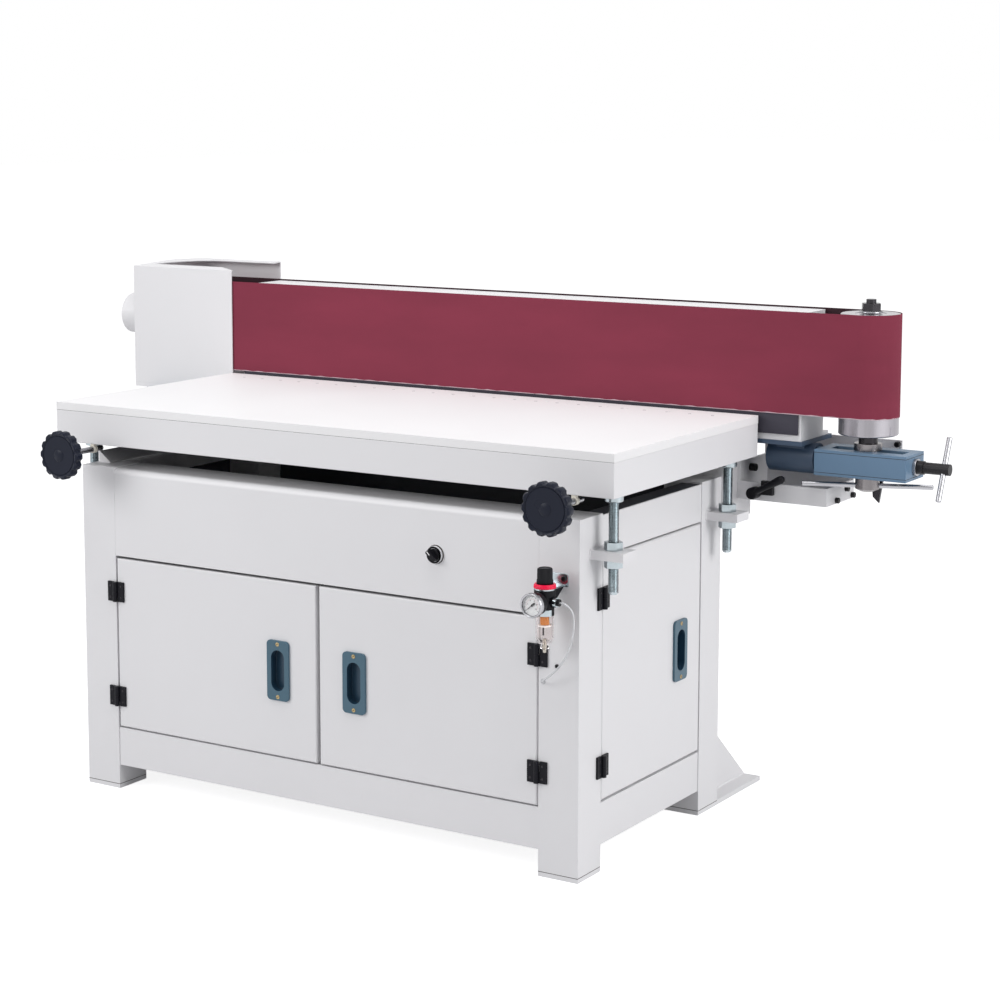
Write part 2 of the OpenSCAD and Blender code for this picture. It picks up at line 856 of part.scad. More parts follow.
// Gauge, with places behind its front
gauge_stem_r = 5;
gauge_stem_in = 10;
gauge_deep = 25;
gauge_rim = 9;
needle_front = 3;
blade_front = 3.3;
blade_back = 3.9;
hub_back = 4.2;
dial_front = 5;
dial_back = 6;
needle_back = 11;
needle_hole = 12;
blade_half = 0.6;
blade_tail = 6;
blade_tip = gauge_r - 7;

// Bowl with its filter and drain, and the fittings at both ports
bowl_wall = 2.5;
bowl_floor = 3;
bowl_toe = 5;
bowl_bend = 12;
knee_in = 4;
knee_up = 8;
filter_high = 18;
filter_r = 8.2;
baffle_thick = 3;
baffle_r = 12.5;
filter_rod_r = 1.6;
filter_rod_off = 3;
filter_rod_low = 14;
drain_hole_r = 4;
drain_low = 18;
drain_high = 8;
drain_cap_r = 8;
drain_cap_low = 10.5;
drain_cap_high = 4;
inlet_hex_in = 5;
inlet_hex = 7;
outlet_ring = 6;
outlet_gap = 0.5;
hose_deep = 12;

module air_bracket() {
    color([0.72, 0.72, 0.74]) place() difference() {
        union() {
            block(plate_x0, plate_x1, -plate_thick, 0, plate_z0, plate_z1 - plate_corner);
            block(plate_x0 + plate_corner, plate_x1 - plate_corner, -plate_thick, 0,
                plate_z1 - plate_corner - eps, plate_z1);
            for (x = [plate_x0 + plate_corner, plate_x1 - plate_corner])
                rod_y(x, -plate_thick, 0, plate_z1 - plate_corner, plate_corner);
            block(air_x - shelf_half, air_x + shelf_half, air_y, -plate_thick + eps,
                air_z - shelf_thick, air_z);
            rod_z(air_x, air_y, air_z - shelf_thick, air_z, collar_out_r);
        }
        rod_z(air_x, air_y, air_z - shelf_thick - 1, air_z + 1, collar_in_r);
    }
}

module air_body() {
    color([0.10, 0.10, 0.12]) place() difference() {
        union() {
            translate([air_x, air_y, 0]) rotate_extrude() polygon([[0, bowl_z1], [bowl_r + 1, bowl_z1],
                [bowl_r + 1, gauge_z + body_bend], [port_out, gauge_z + body_shoulder],
                [port_out, air_z - shelf_thick],
                [neck_r, air_z - shelf_thick], [neck_r, air_z + ring_high], [0, air_z + ring_high]]);
            rod_x(air_x, air_x + port_out, air_y, gauge_z, port_r);
            rod_x(air_x - port_out, air_x, air_y, gauge_z, port_r);
            rod_y(air_x, air_y - port_out, air_y, gauge_z, port_r);
            // Web down from the bracket on the right
            translate([web_x, 0, 0]) rotate([90, 0, 90]) linear_extrude(height = web_thick)
                polygon([[-plate_thick - web_clear, web_z1], [air_y + web_reach, web_z1],
                    [air_y + web_reach, web_z1 - web_high]]);
        }
        rod_z(air_x, air_y, air_z + 2, air_z + ring_high + 1, stem_hole_r);
        rod_x(air_x - port_out - 2, air_x - port_in, air_y, gauge_z, port_bore_r);
        rod_x(air_x + port_in, air_x + port_out + 2, air_y, gauge_z, port_bore_r);
        rod_y(air_x, air_y - port_out - 1, air_y - port_in, gauge_z, gauge_stem_r);
    }
}

module air_ring() {
    color([0.98, 0.05, 0.28]) place() translate([air_x, air_y, 0]) rotate_extrude()
        polygon([[neck_r, air_z], [neck_r + ring_wide, air_z],
            [neck_r + ring_wide - ring_taper, air_z + ring_high], [neck_r, air_z + ring_high]]);
}

module air_knob() {
    color([0.10, 0.10, 0.12]) place() translate([air_x, air_y, 0]) rotate_extrude()
        polygon([[0, air_z + knob_stem_low], [knob_stem_r, air_z + knob_stem_low], [knob_stem_r, grip_z0],
            [grip_r, grip_z0], [grip_r, grip_z0 + grip_band], [grip_neck_r, grip_z0 + grip_band + 2],
            [grip_neck_r, grip_z1 - 2], [grip_neck_r - 2, grip_z1], [0, grip_z1]]);
}

module gauge_case() {
    color([0.78, 0.78, 0.80]) place() difference() {
        union() {
            rod_y(air_x, gauge_y0, gauge_y0 + gauge_rim, gauge_z, gauge_r);
            rod_y(air_x, gauge_y0 + gauge_rim - eps, gauge_y0 + gauge_deep, gauge_z, gauge_r - 2);
            rod_y(air_x, gauge_y0 + gauge_deep - eps, air_y - gauge_stem_in, gauge_z, gauge_stem_r);
        }
        rod_y(air_x, gauge_y0 - 1, gauge_y0 + dial_back, gauge_z, dial_r);
        rod_y(air_x, gauge_y0, gauge_y0 + needle_hole, gauge_z, needle_r + run_clear);
    }
}

module gauge_dial() {
    color([0.95, 0.95, 0.95]) place() difference() {
        rod_y(air_x, gauge_y0 + dial_front, gauge_y0 + dial_back, gauge_z, dial_r);
        rod_y(air_x, gauge_y0 + dial_front - 1, gauge_y0 + dial_back + 1, gauge_z, needle_r + run_clear);
    }
}

module gauge_needle() {
    color([0.05, 0.05, 0.05]) place() {
        rod_y(air_x, gauge_y0 + needle_front, gauge_y0 + needle_back, gauge_z, needle_r);
        rod_y(air_x, gauge_y0 + needle_front, gauge_y0 + hub_back, gauge_z, 2 * needle_r);
        translate([air_x, 0, gauge_z]) rotate([0, -needle_rest, 0])
            block(-blade_half, blade_half, gauge_y0 + blade_front, gauge_y0 + blade_back, -blade_tail,
                blade_tip);
    }
}

module air_bowl() {
    color([0.90, 0.92, 0.93]) place() translate([air_x, air_y, 0]) rotate_extrude()
        polygon([[drain_hole_r, bowl_z0], [bowl_r - bowl_toe, bowl_z0], [bowl_r - 1, bowl_z0 + bowl_bend / 2],
            [bowl_r, bowl_z0 + bowl_bend], [bowl_r, bowl_z1], [bowl_r - bowl_wall, bowl_z1],
            [bowl_r - bowl_wall, bowl_z0 + bowl_bend], [bowl_r - knee_in, bowl_z0 + knee_up],
            [bowl_r - bowl_toe - 2, bowl_z0 + bowl_floor], [drain_hole_r, bowl_z0 + bowl_floor]]);
}

module air_filter() {
    color([0.80, 0.52, 0.30]) place() {
        baffle_z0 = bowl_z1 - filter_high - baffle_thick;
        rod_z(air_x, air_y, bowl_z1 - filter_high, bowl_z1, filter_r);
        rod_z(air_x, air_y, baffle_z0, bowl_z1 - filter_high + eps, baffle_r);
        rod_z(air_x - filter_rod_off, air_y, bowl_z0 + filter_rod_low, baffle_z0 + eps, filter_rod_r);
    }
}

module air_drain() {
    color([0.70, 0.66, 0.50]) place() {
        rod_z(air_x, air_y, bowl_z0 - drain_low, bowl_z0 + drain_high, drain_hole_r - run_clear);
        rod_z(air_x, air_y, bowl_z0 - drain_cap_low, bowl_z0 - drain_cap_high, drain_cap_r);
    }
}

module air_fittings() {
    color([0.75, 0.75, 0.77]) place() {
        difference() {
            rod_x(inlet_x, air_x - port_in, air_y, gauge_z, port_bore_r);
            rod_x(inlet_x - 1, inlet_x + inlet_deep, air_y, gauge_z, inlet_r);
        }
        translate([inlet_x + inlet_hex_in, air_y, gauge_z]) rotate([0, 90, 0]) difference() {
            cylinder(h = inlet_hex, r = port_r, $fn = 6);
            translate([0, 0, -1]) cylinder(h = inlet_hex + 2, r = port_bore_r);
        }
        difference() {
            rod_x(air_x + port_in, outlet_x, air_y, gauge_z, port_bore_r);
            rod_x(outlet_x - hose_deep, outlet_x + 1, air_y, gauge_z, hose_r + hose_room);
        }
        translate([air_x + port_out + outlet_gap, air_y, gauge_z]) rotate([0, 90, 0]) difference() {
            cylinder(h = outlet_ring, r = port_r - outlet_gap);
            translate([0, 0, -1]) cylinder(h = outlet_ring + 2, r = port_bore_r);
        }
    }
}

// Air tube: out of the outlet, round and down, then across to the leg and straight in through its front wall
hose_out = 1;
hose_top_bend = 26;
hose_low_bend = 20;
hose_drift = 2.5;
hose_turn = 75;
hose_pull = 60;
hose_in = 16;
hose_angle = 15;
hose_steps = 12;
hose_end = [far_leg + leg_wall + hose_r + 4, 0, air_z - 189];
hose_from = [0.83, 0, 0.56];
hose_down = [0, 0.1, -1];

function unit(v) = v / norm(v);
function hose_top(a) = [outlet_x + hose_out + hose_top_bend * sin(a), air_y + hose_drift * (1 - cos(a)),
    gauge_z - hose_top_bend * (1 - cos(a))];
function hose_low(a) = hose_end + hose_low_bend * ((1 - cos(a)) * hose_from - [0, sin(a), 0]);
function bezier(a, b, c, d, t) = pow(1 - t, 3) * a + 3 * t * pow(1 - t, 2) * b + 3 * t * t * (1 - t) * c
    + pow(t, 3) * d;
hose_toward = sin(hose_turn) * hose_from - [0, cos(hose_turn), 0];
hose_path = concat(
    [[outlet_x - hose_deep + hose_out, air_y, gauge_z]],
    [for (a = [0:hose_angle:90]) hose_top(a)],
    [for (k = [1:hose_steps - 1]) bezier(hose_top(90), hose_top(90) + hose_pull * hose_down,
        hose_low(hose_turn) + hose_pull * hose_toward, hose_low(hose_turn), k / hose_steps)],
    [for (a = [hose_turn:-hose_angle:0]) hose_low(a)],
    [hose_end + [0, hose_in, 0]]);
hose_n = len(hose_path);
hose_sides = 8;
hose_up = [0.05, 0.6, -0.8];
function hose_dir(i) = unit(hose_path[min(i + 1, hose_n - 1)] - hose_path[max(i - 1, 0)]);
function hose_side(i) = unit(cross(hose_dir(i), hose_up));
function hose_ring(i) = [for (k = [0:hose_sides - 1]) let (a = k * 360 / hose_sides) hose_path[i]
    + hose_r * (cos(a) * hose_side(i) + sin(a) * cross(hose_dir(i), hose_side(i)))];

module air_hose() {
    points = [for (i = [0:hose_n - 1]) each hose_ring(i)];
    sides = [for (i = [0:hose_n - 2]) for (k = [0:hose_sides - 1]) let (n = (k + 1) % hose_sides)
        each [[i * hose_sides + k, i * hose_sides + n, (i + 1) * hose_sides + n],
            [i * hose_sides + k, (i + 1) * hose_sides + n, (i + 1) * hose_sides + k]]];
    first = [for (k = [1:hose_sides - 2]) [0, k + 1, k]];
    last = [for (k = [1:hose_sides - 2]) [(hose_n - 1) * hose_sides, (hose_n - 1) * hose_sides + k,
        (hose_n - 1) * hose_sides + k + 1]];
    color([0.93, 0.94, 0.95]) place() polyhedron(points, concat(sides, first, last));
}

// Electrics behind the side door: a plate, three switches in shares of its width, and a clip rail
board_in = 54;
board_side = 34;
board_drop = 128;
switch_deep = 60;
switch_low = 140;
switch_high = 60;
switch_first = 0.09;
switch_share = 0.16;
switch_step = 0.235;
clip_deep = 45;
clip_low = 260;
clip_high = 220;
clip_last = 0.82;

module electrics() {
    x = cab_length - leg_size - board_in;
    y0 = leg_size + board_side;
    wide = back_leg - board_side - y0;
    top = leg_height - board_drop;
    color([0.55, 0.56, 0.58]) place() {
        block(x, x + sheet, y0, y0 + wide, pan_z + sheet, top);
        for (i = [0:2]) block(x + sheet - eps, x + switch_deep, y0 + wide * (switch_first + switch_step * i),
            y0 + wide * (switch_first + switch_share + switch_step * i), top - switch_low, top - switch_high);
        block(x + sheet - eps, x + clip_deep, y0 + wide * switch_first, y0 + wide * clip_last,
            top - clip_low, top - clip_high);
    }
}

// Belt head: posts and lug of the carrier, bolts and stop of the end bracket, clamp lever
post_in = 20;
post_out = 90;
lug_gap = 6;
lug_high = 16;
tray_bolts = [[46, 7.5], [126, 7.5], [95, 25]];
tray_head = 8;
wall_bolt_in = 50;
wall_bolt_drop = 18;
wall_head = 14;
corner_bolt_in = 8;
corner_head = 9;
air_bolt_x = 16;
air_bolt_z = 11;
air_head = 4;
leg_bolt_in = 46;
leg_bolt_drop = 156;
leg_bolt_r = 4;
leg_head = 3;
stop_x0 = 14;
stop_x1 = 40;
stop_out = 10;
stop_low = 14;
stop_rise = 6;
lever_hub_out = 26;
lever_clear = 0.4;
lever_pin_in = 20;
lever_mid = 20;
lever_root = 6;

module carrier() {
    color([0.88, 0.88, 0.89]) place() {
        difference() {
            block(0, side_x0, cab_depth, cab_depth + beam_depth, beam_z0, beam_z1);
            block(-1, side_x0 + 1, cab_depth + beam_wall, cab_depth + beam_depth - beam_wall,
                beam_z0 + beam_wall, beam_z1 - beam_wall);
        }
        for (x = post_places) block(x, x + post_wide, web_y + post_in, web_y + post_out, beam_z1, foot_z0);
        block(side_x0, side_x1, cab_depth, side_y1, plate_low, plate_top);
        block(side_x0, side_x1, table_depth + lug_gap, side_y1, plate_top - eps, plate_top + lug_high);
    }
}

module end_bracket() {
    color([0.84, 0.84, 0.84]) place() difference() {
        union() {
            block(side_x1, tray_x1, tray_y0, tray_y1, tray_z0, tray_z0 + tray_sheet);
            block(side_x1, tray_x1, tray_y0, tray_y0 + tray_sheet, tray_z0, tray_z1);
            block(tray_x1 - tray_sheet, tray_x1, tray_y0, tray_y1, tray_z0, tray_z1);
            block(side_x1, side_x1 + tray_sheet, tray_y0, tray_y1, tray_z0, plate_top);
            block(side_x1, tray_x1, tray_y1 - tray_sheet, tray_y1, tray_z0, wall_z1);
            block(tray_x1 - eps, wall_x1, tray_y1 - tray_sheet, tray_y1, wall_z1 - wall_high, wall_z1);
        }
        rod_y(lever_x, tray_y0 - 1, tray_y0 + tray_sheet + 1, lever_z, lever_pin_r + run_clear);
    }
}

module black_bolts() {
    color([0.10, 0.10, 0.12]) place() {
        for (p = tray_bolts)
            rod_x(tray_x1, tray_x1 + tray_head, tray_y0 + p[0], tray_z0 + p[1], bolt_r);
        rod_x(side_x1 + tray_sheet, side_x1 + tray_sheet + wall_head, tray_y0 + wall_bolt_in,
            plate_top - wall_bolt_drop, bolt_r + 2);
        rod_y(wall_x1 - corner_bolt_in, tray_y1 - tray_sheet - corner_head, tray_y1 - tray_sheet,
            wall_z1 - corner_bolt_in, bolt_r);
        rod_y(air_x + air_bolt_x, -plate_thick - air_head, -plate_thick, air_z + air_bolt_z, bolt_r - 1);
        rod_y(cab_length - leg_bolt_in, -leg_head, 0, air_z - leg_bolt_drop, leg_bolt_r);
        // Stop block beside the clamp lever
        block(lever_x + stop_x0, lever_x + stop_x1, tray_y0 - stop_out, tray_y0, tray_z0 + stop_low,
            tray_z1 + stop_rise);
    }
}

module clamp_lever() {
    color([0.09, 0.09, 0.11]) place() {
        rod_y(lever_x, tray_y0 - lever_hub_out, tray_y0 - lever_clear, lever_z, lever_hub_r);
        rod_y(lever_x, tray_y0 - 1, tray_y0 + lever_pin_in, lever_z, lever_pin_r);
        translate([lever_x, tray_y0 - lever_mid, lever_z]) rotate([0, lever_turn, 0]) {
            translate([0, 0, lever_root]) cylinder(h = lever_arm - lever_root, r = lever_arm_r);
            translate([0, 0, lever_arm]) sphere(r = lever_arm_r);
        }
    }
}

// Bed of the belt and its guard: room round the shaft, ribs, ends of the platen, cuts in the guard
shaft_room = 12;
foot_back = 80;
bed_rib = 8;
rib_back = 8;
platen_over = 20;
platen_short = 5;
platen_lift = 13;
cut_room = 5;
open_cut = 20;
lip_over = 9;
lip_cut = 6;

module platen_channel() {
    color([0.88, 0.88, 0.89]) place() {
        difference() {
            translate([0, 0, base_z0]) linear_extrude(height = guard_z0 - base_z0) guard_plan(0);
            rod_z(drive_x, axis_y, base_z0 - 1, guard_z0 + 1, drive_shaft_r + shaft_room);
        }
        block(guard_x1, channel_x1, web_y, axis_y + foot_back, foot_z0, foot_z1);
        block(bed_x0, channel_x1, web_y, web_y + channel_wall, foot_z1 - eps, channel_z1);
        block(bed_x0, channel_x1, web_y, bed_back, channel_z1 - channel_wall, channel_z1);
        for (x = bed_ribs)
            block(x, x + bed_rib, web_y, bed_back - rib_back, foot_z1 - eps, channel_z1 - channel_wall + eps);
        // Plate that closes the right end
        block(channel_x1 - channel_wall, channel_x1, web_y, bed_back, foot_z1 - eps, channel_z1);
    }
}

module platen() {
    color([0.29, 0.29, 0.33]) place()
        block(bed_x0 - platen_over, channel_x1 - platen_short, web_y - platen_thick, web_y,
            foot_z0 + platen_lift, channel_z1 + 1);
}

module belt_plan(r) {
    translate([drive_x, axis_y]) circle(r = r);
    translate([idler_x, axis_y]) circle(r = r);
    translate([drive_x, axis_y - r]) square([idler_x - drive_x, 2 * r]);
}

module sanding_belt() {
    color([0.55, 0.25, 0.33]) place() translate([0, 0, belt_z0])
        linear_extrude(height = belt_width) difference() {
            belt_plan(belt_out);
            belt_plan(belt_in);
        }
}

module guard_plan(in) {
    r = guard_corner - in;
    x0 = guard_x0 + in;
    y1 = guard_y1 - in;
    translate([x0 + r, guard_y0 + in]) square([guard_x1 - x0 - r, y1 - guard_y0 - in]);
    translate([x0, guard_y0 + in]) square([r + eps, y1 - r - guard_y0 - in]);
    translate([x0 + r, y1 - r]) circle(r = r);
}

lip_r = guard_depth - lip_front - lip_back;
lip_left = 25;
lip_slant = 63;
guard_high = guard_z1 - guard_z0;

// All that lies over the guard's sloping top
module over_guard(z) {
    translate([x_min, guard_y0, z]) rotate([guard_tilt, 0, 0]) translate([0, -guard_depth / 2, 0])
        cube([2 * (guard_x1 - x_min), 2 * guard_depth, guard_high]);
}

module guard() {
    color([0.90, 0.90, 0.91]) place() difference() {
        union() {
            translate([0, 0, guard_z0]) linear_extrude(height = guard_high + guard_lift + cut_room)
                guard_plan(0);
            rod_x(x_min, guard_x0 + guard_sheet, pipe_y, pipe_z, pipe_r);
        }
        over_guard(guard_z1);
        difference() {
            translate([0, 0, guard_z0 - 1]) linear_extrude(height = guard_high + guard_lift + 3) {
                guard_plan(guard_sheet);
                translate([guard_x1 - open_cut, guard_y0 + guard_sheet])
                    square([2 * open_cut, guard_depth - 2 * guard_sheet]);
            }
            over_guard(guard_z1 - guard_sheet);
        }
        rod_x(x_min - 1, guard_x0 + guard_sheet + 1, pipe_y, pipe_z, pipe_r - pipe_wall);
        translate([0, 0, guard_z1 - guard_sheet - 1])
            linear_extrude(height = guard_lift + 2 * guard_sheet + 3) {
            intersection() {
                translate([guard_x0 + lip_left, guard_y0 + lip_front]) square([guard_x1 - guard_x0, lip_r]);
                translate([guard_x0 + lip_left + lip_r, guard_y0 + lip_front]) {
                    circle(r = lip_r);
                    square([guard_x1 - guard_x0, lip_r]);
                }
            }
            // Slanting right end of the front lip
            polygon([[guard_x1 - lip_slant - lip_over, guard_y0 + lip_front + lip_cut],
                [guard_x1 + lip_over, guard_y0 - 1], [guard_x1 + lip_over, guard_y0 + lip_front + lip_cut]]);
        }
    }
}

// Drums, drive hub, motor and idler shaft
hub_z0 = drum_z0 + 90;
hub_z1 = drum_z0 + 130;
drum_edge = 2;
shaft_deep = 60;
flange_thick = 16;
motor_z0 = base_z0 - flange_thick - motor_length;
fin_count = 24;
fin_deep = 12;
fin_thick = 4;
fin_low = 10;
fin_short = 30;
flange_out = 22;
core_in = 8;
terminal_half = 55;
terminal_out = 16;
terminal_low = 170;
terminal_high = 70;
shaft_hole = shaft_deep + 20;
cowl_high = 60;
bearing_room = bearing_width + 4;
washer_r = 23;
washer_high = 3;
stud_r = 10;
stud_high = 28;
cap_nut = 16;
cap_flats = nut_flats + 4;
shaft_tail = 10;
spacer_r = 19;
flange_r = 28;
flange_high = 14;

module drive_drum() {
    color([0.67, 0.65, 0.65]) place() translate([drive_x, axis_y, 0]) {
        rotate_extrude() polygon([[0, hub_z0], [drum_r - drum_wall, hub_z0], [drum_r - drum_wall, drum_z0],
            [drum_r - drum_edge, drum_z0], [drum_r, drum_z0 + drum_edge], [drum_r, drum_z1 - drum_edge],
            [drum_r - drum_edge, drum_z1], [drum_r - drum_wall, drum_z1], [drum_r - drum_wall, hub_z1],
            [0, hub_z1]]);
        translate([0, 0, base_z0 - shaft_deep])
            cylinder(h = hub_z0 + 1 - base_z0 + shaft_deep, r = drive_shaft_r);
    }
}

module motor() {
    color([0.45, 0.50, 0.54]) place() difference() {
        union() {
            rod_z(drive_x, axis_y, base_z0 - flange_thick, base_z0, motor_r + flange_out);
            rod_z(drive_x, axis_y, motor_z0, base_z0 - flange_thick + 1, motor_r - core_in);
            for (i = [0:fin_count - 1]) translate([drive_x, axis_y, motor_z0 + fin_low])
                rotate([0, 0, i * 360 / fin_count]) translate([motor_r - fin_deep, -fin_thick / 2, 0])
                cube([fin_deep, fin_thick, motor_length - fin_short]);
            block(drive_x - terminal_half, drive_x + terminal_half, axis_y, axis_y + motor_r + terminal_out,
                base_z0 - terminal_low, base_z0 - terminal_high);
            rod_z(drive_x, axis_y, motor_z0 - cowl_high, motor_z0 + 1, motor_r);
        }
        rod_z(drive_x, axis_y, base_z0 - shaft_hole, base_z0 + 1, drive_shaft_r + run_clear);
    }
}

module idler_drum() {
    color([0.67, 0.65, 0.65]) place() translate([idler_x, axis_y, 0]) rotate_extrude()
        polygon([[bearing_r, drum_z0], [drum_r - drum_edge, drum_z0], [drum_r, drum_z0 + drum_edge],
            [drum_r, drum_z1 - drum_edge], [drum_r - drum_edge, drum_z1], [bearing_r, drum_z1],
            [bearing_r, drum_z1 - bearing_room], [drum_r - drum_wall, drum_z1 - bearing_room],
            [drum_r - drum_wall, drum_z0 + bearing_room], [bearing_r, drum_z0 + bearing_room]]);
}

module idler_bearings() {
    color([0.60, 0.60, 0.62]) place() translate([idler_x, axis_y, 0])
        for (z = [drum_z0 + 1, drum_z1 - bearing_width - 1]) difference() {
            translate([0, 0, z]) cylinder(h = bearing_width, r = bearing_r);
            translate([0, 0, z - 1]) cylinder(h = bearing_width + 2, r = idler_shaft_r + run_clear);
        }
}

module idler_shaft() {
    color([0.35, 0.35, 0.37]) place() translate([idler_x, axis_y, 0]) {
        translate([0, 0, lock_z1 - shaft_tail])
            cylinder(h = drum_z1 + 1 - lock_z1 + shaft_tail, r = idler_shaft_r);
        translate([0, 0, drum_z1]) cylinder(h = stud_high, r = stud_r);
        translate([0, 0, box_z + box_rise + slide_clear]) cylinder(h = flange_high, r = flange_r);
        translate([0, 0, box_z + box_rise + flange_high])
            cylinder(h = drum_z0 - 0.5 - box_z - box_rise - flange_high, r = spacer_r);
    }
}

module idler_nut() {
    color([0.20, 0.20, 0.22]) place() translate([idler_x, axis_y, 0]) difference() {
        union() {
            translate([0, 0, drum_z1 + 1]) cylinder(h = washer_high, r = washer_r);
            translate([0, 0, drum_z1 + 1 + washer_high - eps])
                cylinder(h = cap_nut, r = cap_flats / sqrt(3), $fn = 6);
        }
        translate([0, 0, drum_z1]) cylinder(h = 2 * stud_high, r = stud_r);
    }
}

// Arm and tension box: tube and saddle of the arm, slots, ring, blade, screw and lock boss
arm_under = 20;
arm_half = 92;
arm_start = 70;
saddle_half = tube_r - 7.5;
spigot_r = tube_r - 7;
slot_half = 17;
slot_back = slack + 53;
slot_front = 80;
ring_thick = 7;
ring_out_r = 17;
tube_gap = 10;
saddle_in = 20;
saddle_short = 7;
spigot_long = 60;
steel_blade = [[-10, 0], [18, 0], [13, -30], [8, -61], [-5, -49]];
steel_blade_thick = 7;
screw_start = 6;
screw_past = 8;
thrust_clear = 0.4;
thrust_end = 20;
handle_start = 19;
tee_clear = 0.1;
tee_hole = 60;
lock_taper = 9;
lock_foot = 5;
lock_hole = 100;

module arm() {
    color([0.22, 0.28, 0.36]) place() difference() {
        union() {
            block(cab_length - arm_under, channel_x1 + 3, web_y - 2, axis_y + arm_half, arm_z0, arm_z1);
            rod_x(cab_length + arm_start, box_x0 - tube_gap, axis_y, box_z, tube_r);
            block(cab_length + arm_start + saddle_in, channel_x1 - saddle_short, axis_y - saddle_half,
                axis_y + saddle_half, box_z, arm_z0 + eps);
        }
        rod_x(cab_length + arm_start - 1, box_x0 + 1, axis_y, box_z, spigot_r);
    }
}

module tension_box() {
    color([0.37, 0.49, 0.59]) place() difference() {
        union() {
            block(box_x0, box_x1, axis_y - box_half, axis_y + box_half, box_z - box_rise, box_z + box_rise);
            rod_x(box_x0 - spigot_long, box_x0 + eps, axis_y, box_z, spigot_r);
        }
        block(cav_x0, cav_x1, axis_y - cav_y, axis_y + cav_y, box_z - cav_z, box_z + cav_z);
        for (z = [box_z + cav_z - 1, box_z - box_rise - 1])
            block(idler_x - slot_back, idler_x + slot_front, axis_y - slot_half, axis_y + slot_half,
                z, z + box_cover + 2);
        rod_x(cav_x1 - 1, box_x1 + 1, axis_y, box_z, tension_r + run_clear);
    }
}

module slide_block() {
    color([0.40, 0.40, 0.42]) place() difference() {
        block(idler_x - block_back, idler_x + block_front, axis_y - cav_y + slide_clear,
            axis_y + cav_y - slide_clear, box_z - cav_z + slide_clear, box_z + cav_z - slide_clear);
        rod_z(idler_x, axis_y, box_z - box_rise, box_z + box_rise, idler_shaft_r);
        rod_x(idler_x + idler_shaft_r + 3, idler_x + block_front + 1, axis_y, box_z, tension_r + run_clear);
    }
}

// Bright ring round the screw and the steel blade under the box
module box_fittings() {
    color([0.75, 0.75, 0.77]) place() {
        difference() {
            rod_x(box_x1, box_x1 + ring_thick, axis_y, box_z, ring_out_r);
            rod_x(box_x1 - 1, box_x1 + ring_thick + 1, axis_y, box_z, tension_r + run_clear);
        }
        translate([idler_x, axis_y + box_half + 1, box_z - box_rise]) rotate([90, 0, 0])
            linear_extrude(height = steel_blade_thick) polygon(steel_blade);
    }
}

module tension_screw() {
    color([0.17, 0.16, 0.17]) place() difference() {
        union() {
            rod_x(idler_x + idler_shaft_r + screw_start, box_x1 + screw_past, axis_y, box_z, tension_r);
            rod_x(box_x1 + ring_thick + thrust_clear, box_x1 + thrust_end, axis_y, box_z, handle_r + 2);
            rod_x(box_x1 + handle_start, handle_end, axis_y, box_z, handle_r);
        }
        tee_place(tee_r + tee_clear, tee_hole);
    }
}

module tee_place(r, length) {
    translate([tee_x, axis_y, box_z]) rotate([-tee_lean, 0, 0]) translate([0, 0, -length / 2])
        cylinder(h = length, r = r);
}

module tee_bar() {
    color([0.80, 0.80, 0.82]) place() tee_place(tee_r, tee_length);
}

module lock_place(r, length) {
    translate([idler_x, axis_y, lock_bar_z]) rotate([0, 90, lock_turn]) translate([0, 0, -length / 2])
        cylinder(h = length, r = r);
}

module lock_boss() {
    color([0.62, 0.60, 0.60]) place() difference() {
        hole_r = idler_shaft_r + run_clear;
        hole_z = lock_z1 - shaft_tail - 0.5;
        translate([idler_x, axis_y, 0]) rotate_extrude() polygon([[0, lock_z0],
            [lock_r - lock_taper, lock_z0], [lock_r, lock_z0 + lock_foot], [lock_r, lock_z1],
            [hole_r, lock_z1], [hole_r, hole_z], [0, hole_z]]);
        lock_place(lock_bar_r, lock_hole);
    }
}

module lock_handle() {
    color([0.80, 0.80, 0.82]) place() lock_place(lock_bar_r, lock_bar);
}

legs();
rails();
panels();
lift_brackets();
lift_nuts();
hinge_frame_leaves();
hinge_leaves_left();
hinge_leaves_right();
hinge_leaves_side();
door_left();
door_right();
door_side();
pull_left();
pull_right();
pull_side();
table_top();
table_skirt();
lift_screws();
knob_bosses();
knob_left();
knob_right();
shaft_left();
shaft_right();
selector_bezel();
selector_handle();
air_bracket();
air_body();
air_ring();
air_knob();
gauge_case();
gauge_dial();
gauge_needle();
air_bowl();
air_filter();
air_drain();
air_fittings();
air_hose();
electrics();
carrier();
end_bracket();
black_bolts();
clamp_lever();
platen_channel();
platen();
sanding_belt();
guard();
drive_drum();
motor();
idler_drum();
idler_bearings();
idler_shaft();
idler_nut();
arm();
tension_box();
slide_block();
box_fittings();
tension_screw();
tee_bar();
lock_boss();
lock_handle();
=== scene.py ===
# %% [markdown]
# # Edge sander
# The CAD model is the fixed frame of this scene. We load it first, keep its box, and then dress it:
# finishes for every solid, and new pieces where the real machine has detail that a plain solid
# lacks.

# %% Load the frame
import json
import math
import bmesh
import bpy
from mathutils import Matrix, Vector
from mathutils.geometry import interpolate_bezier


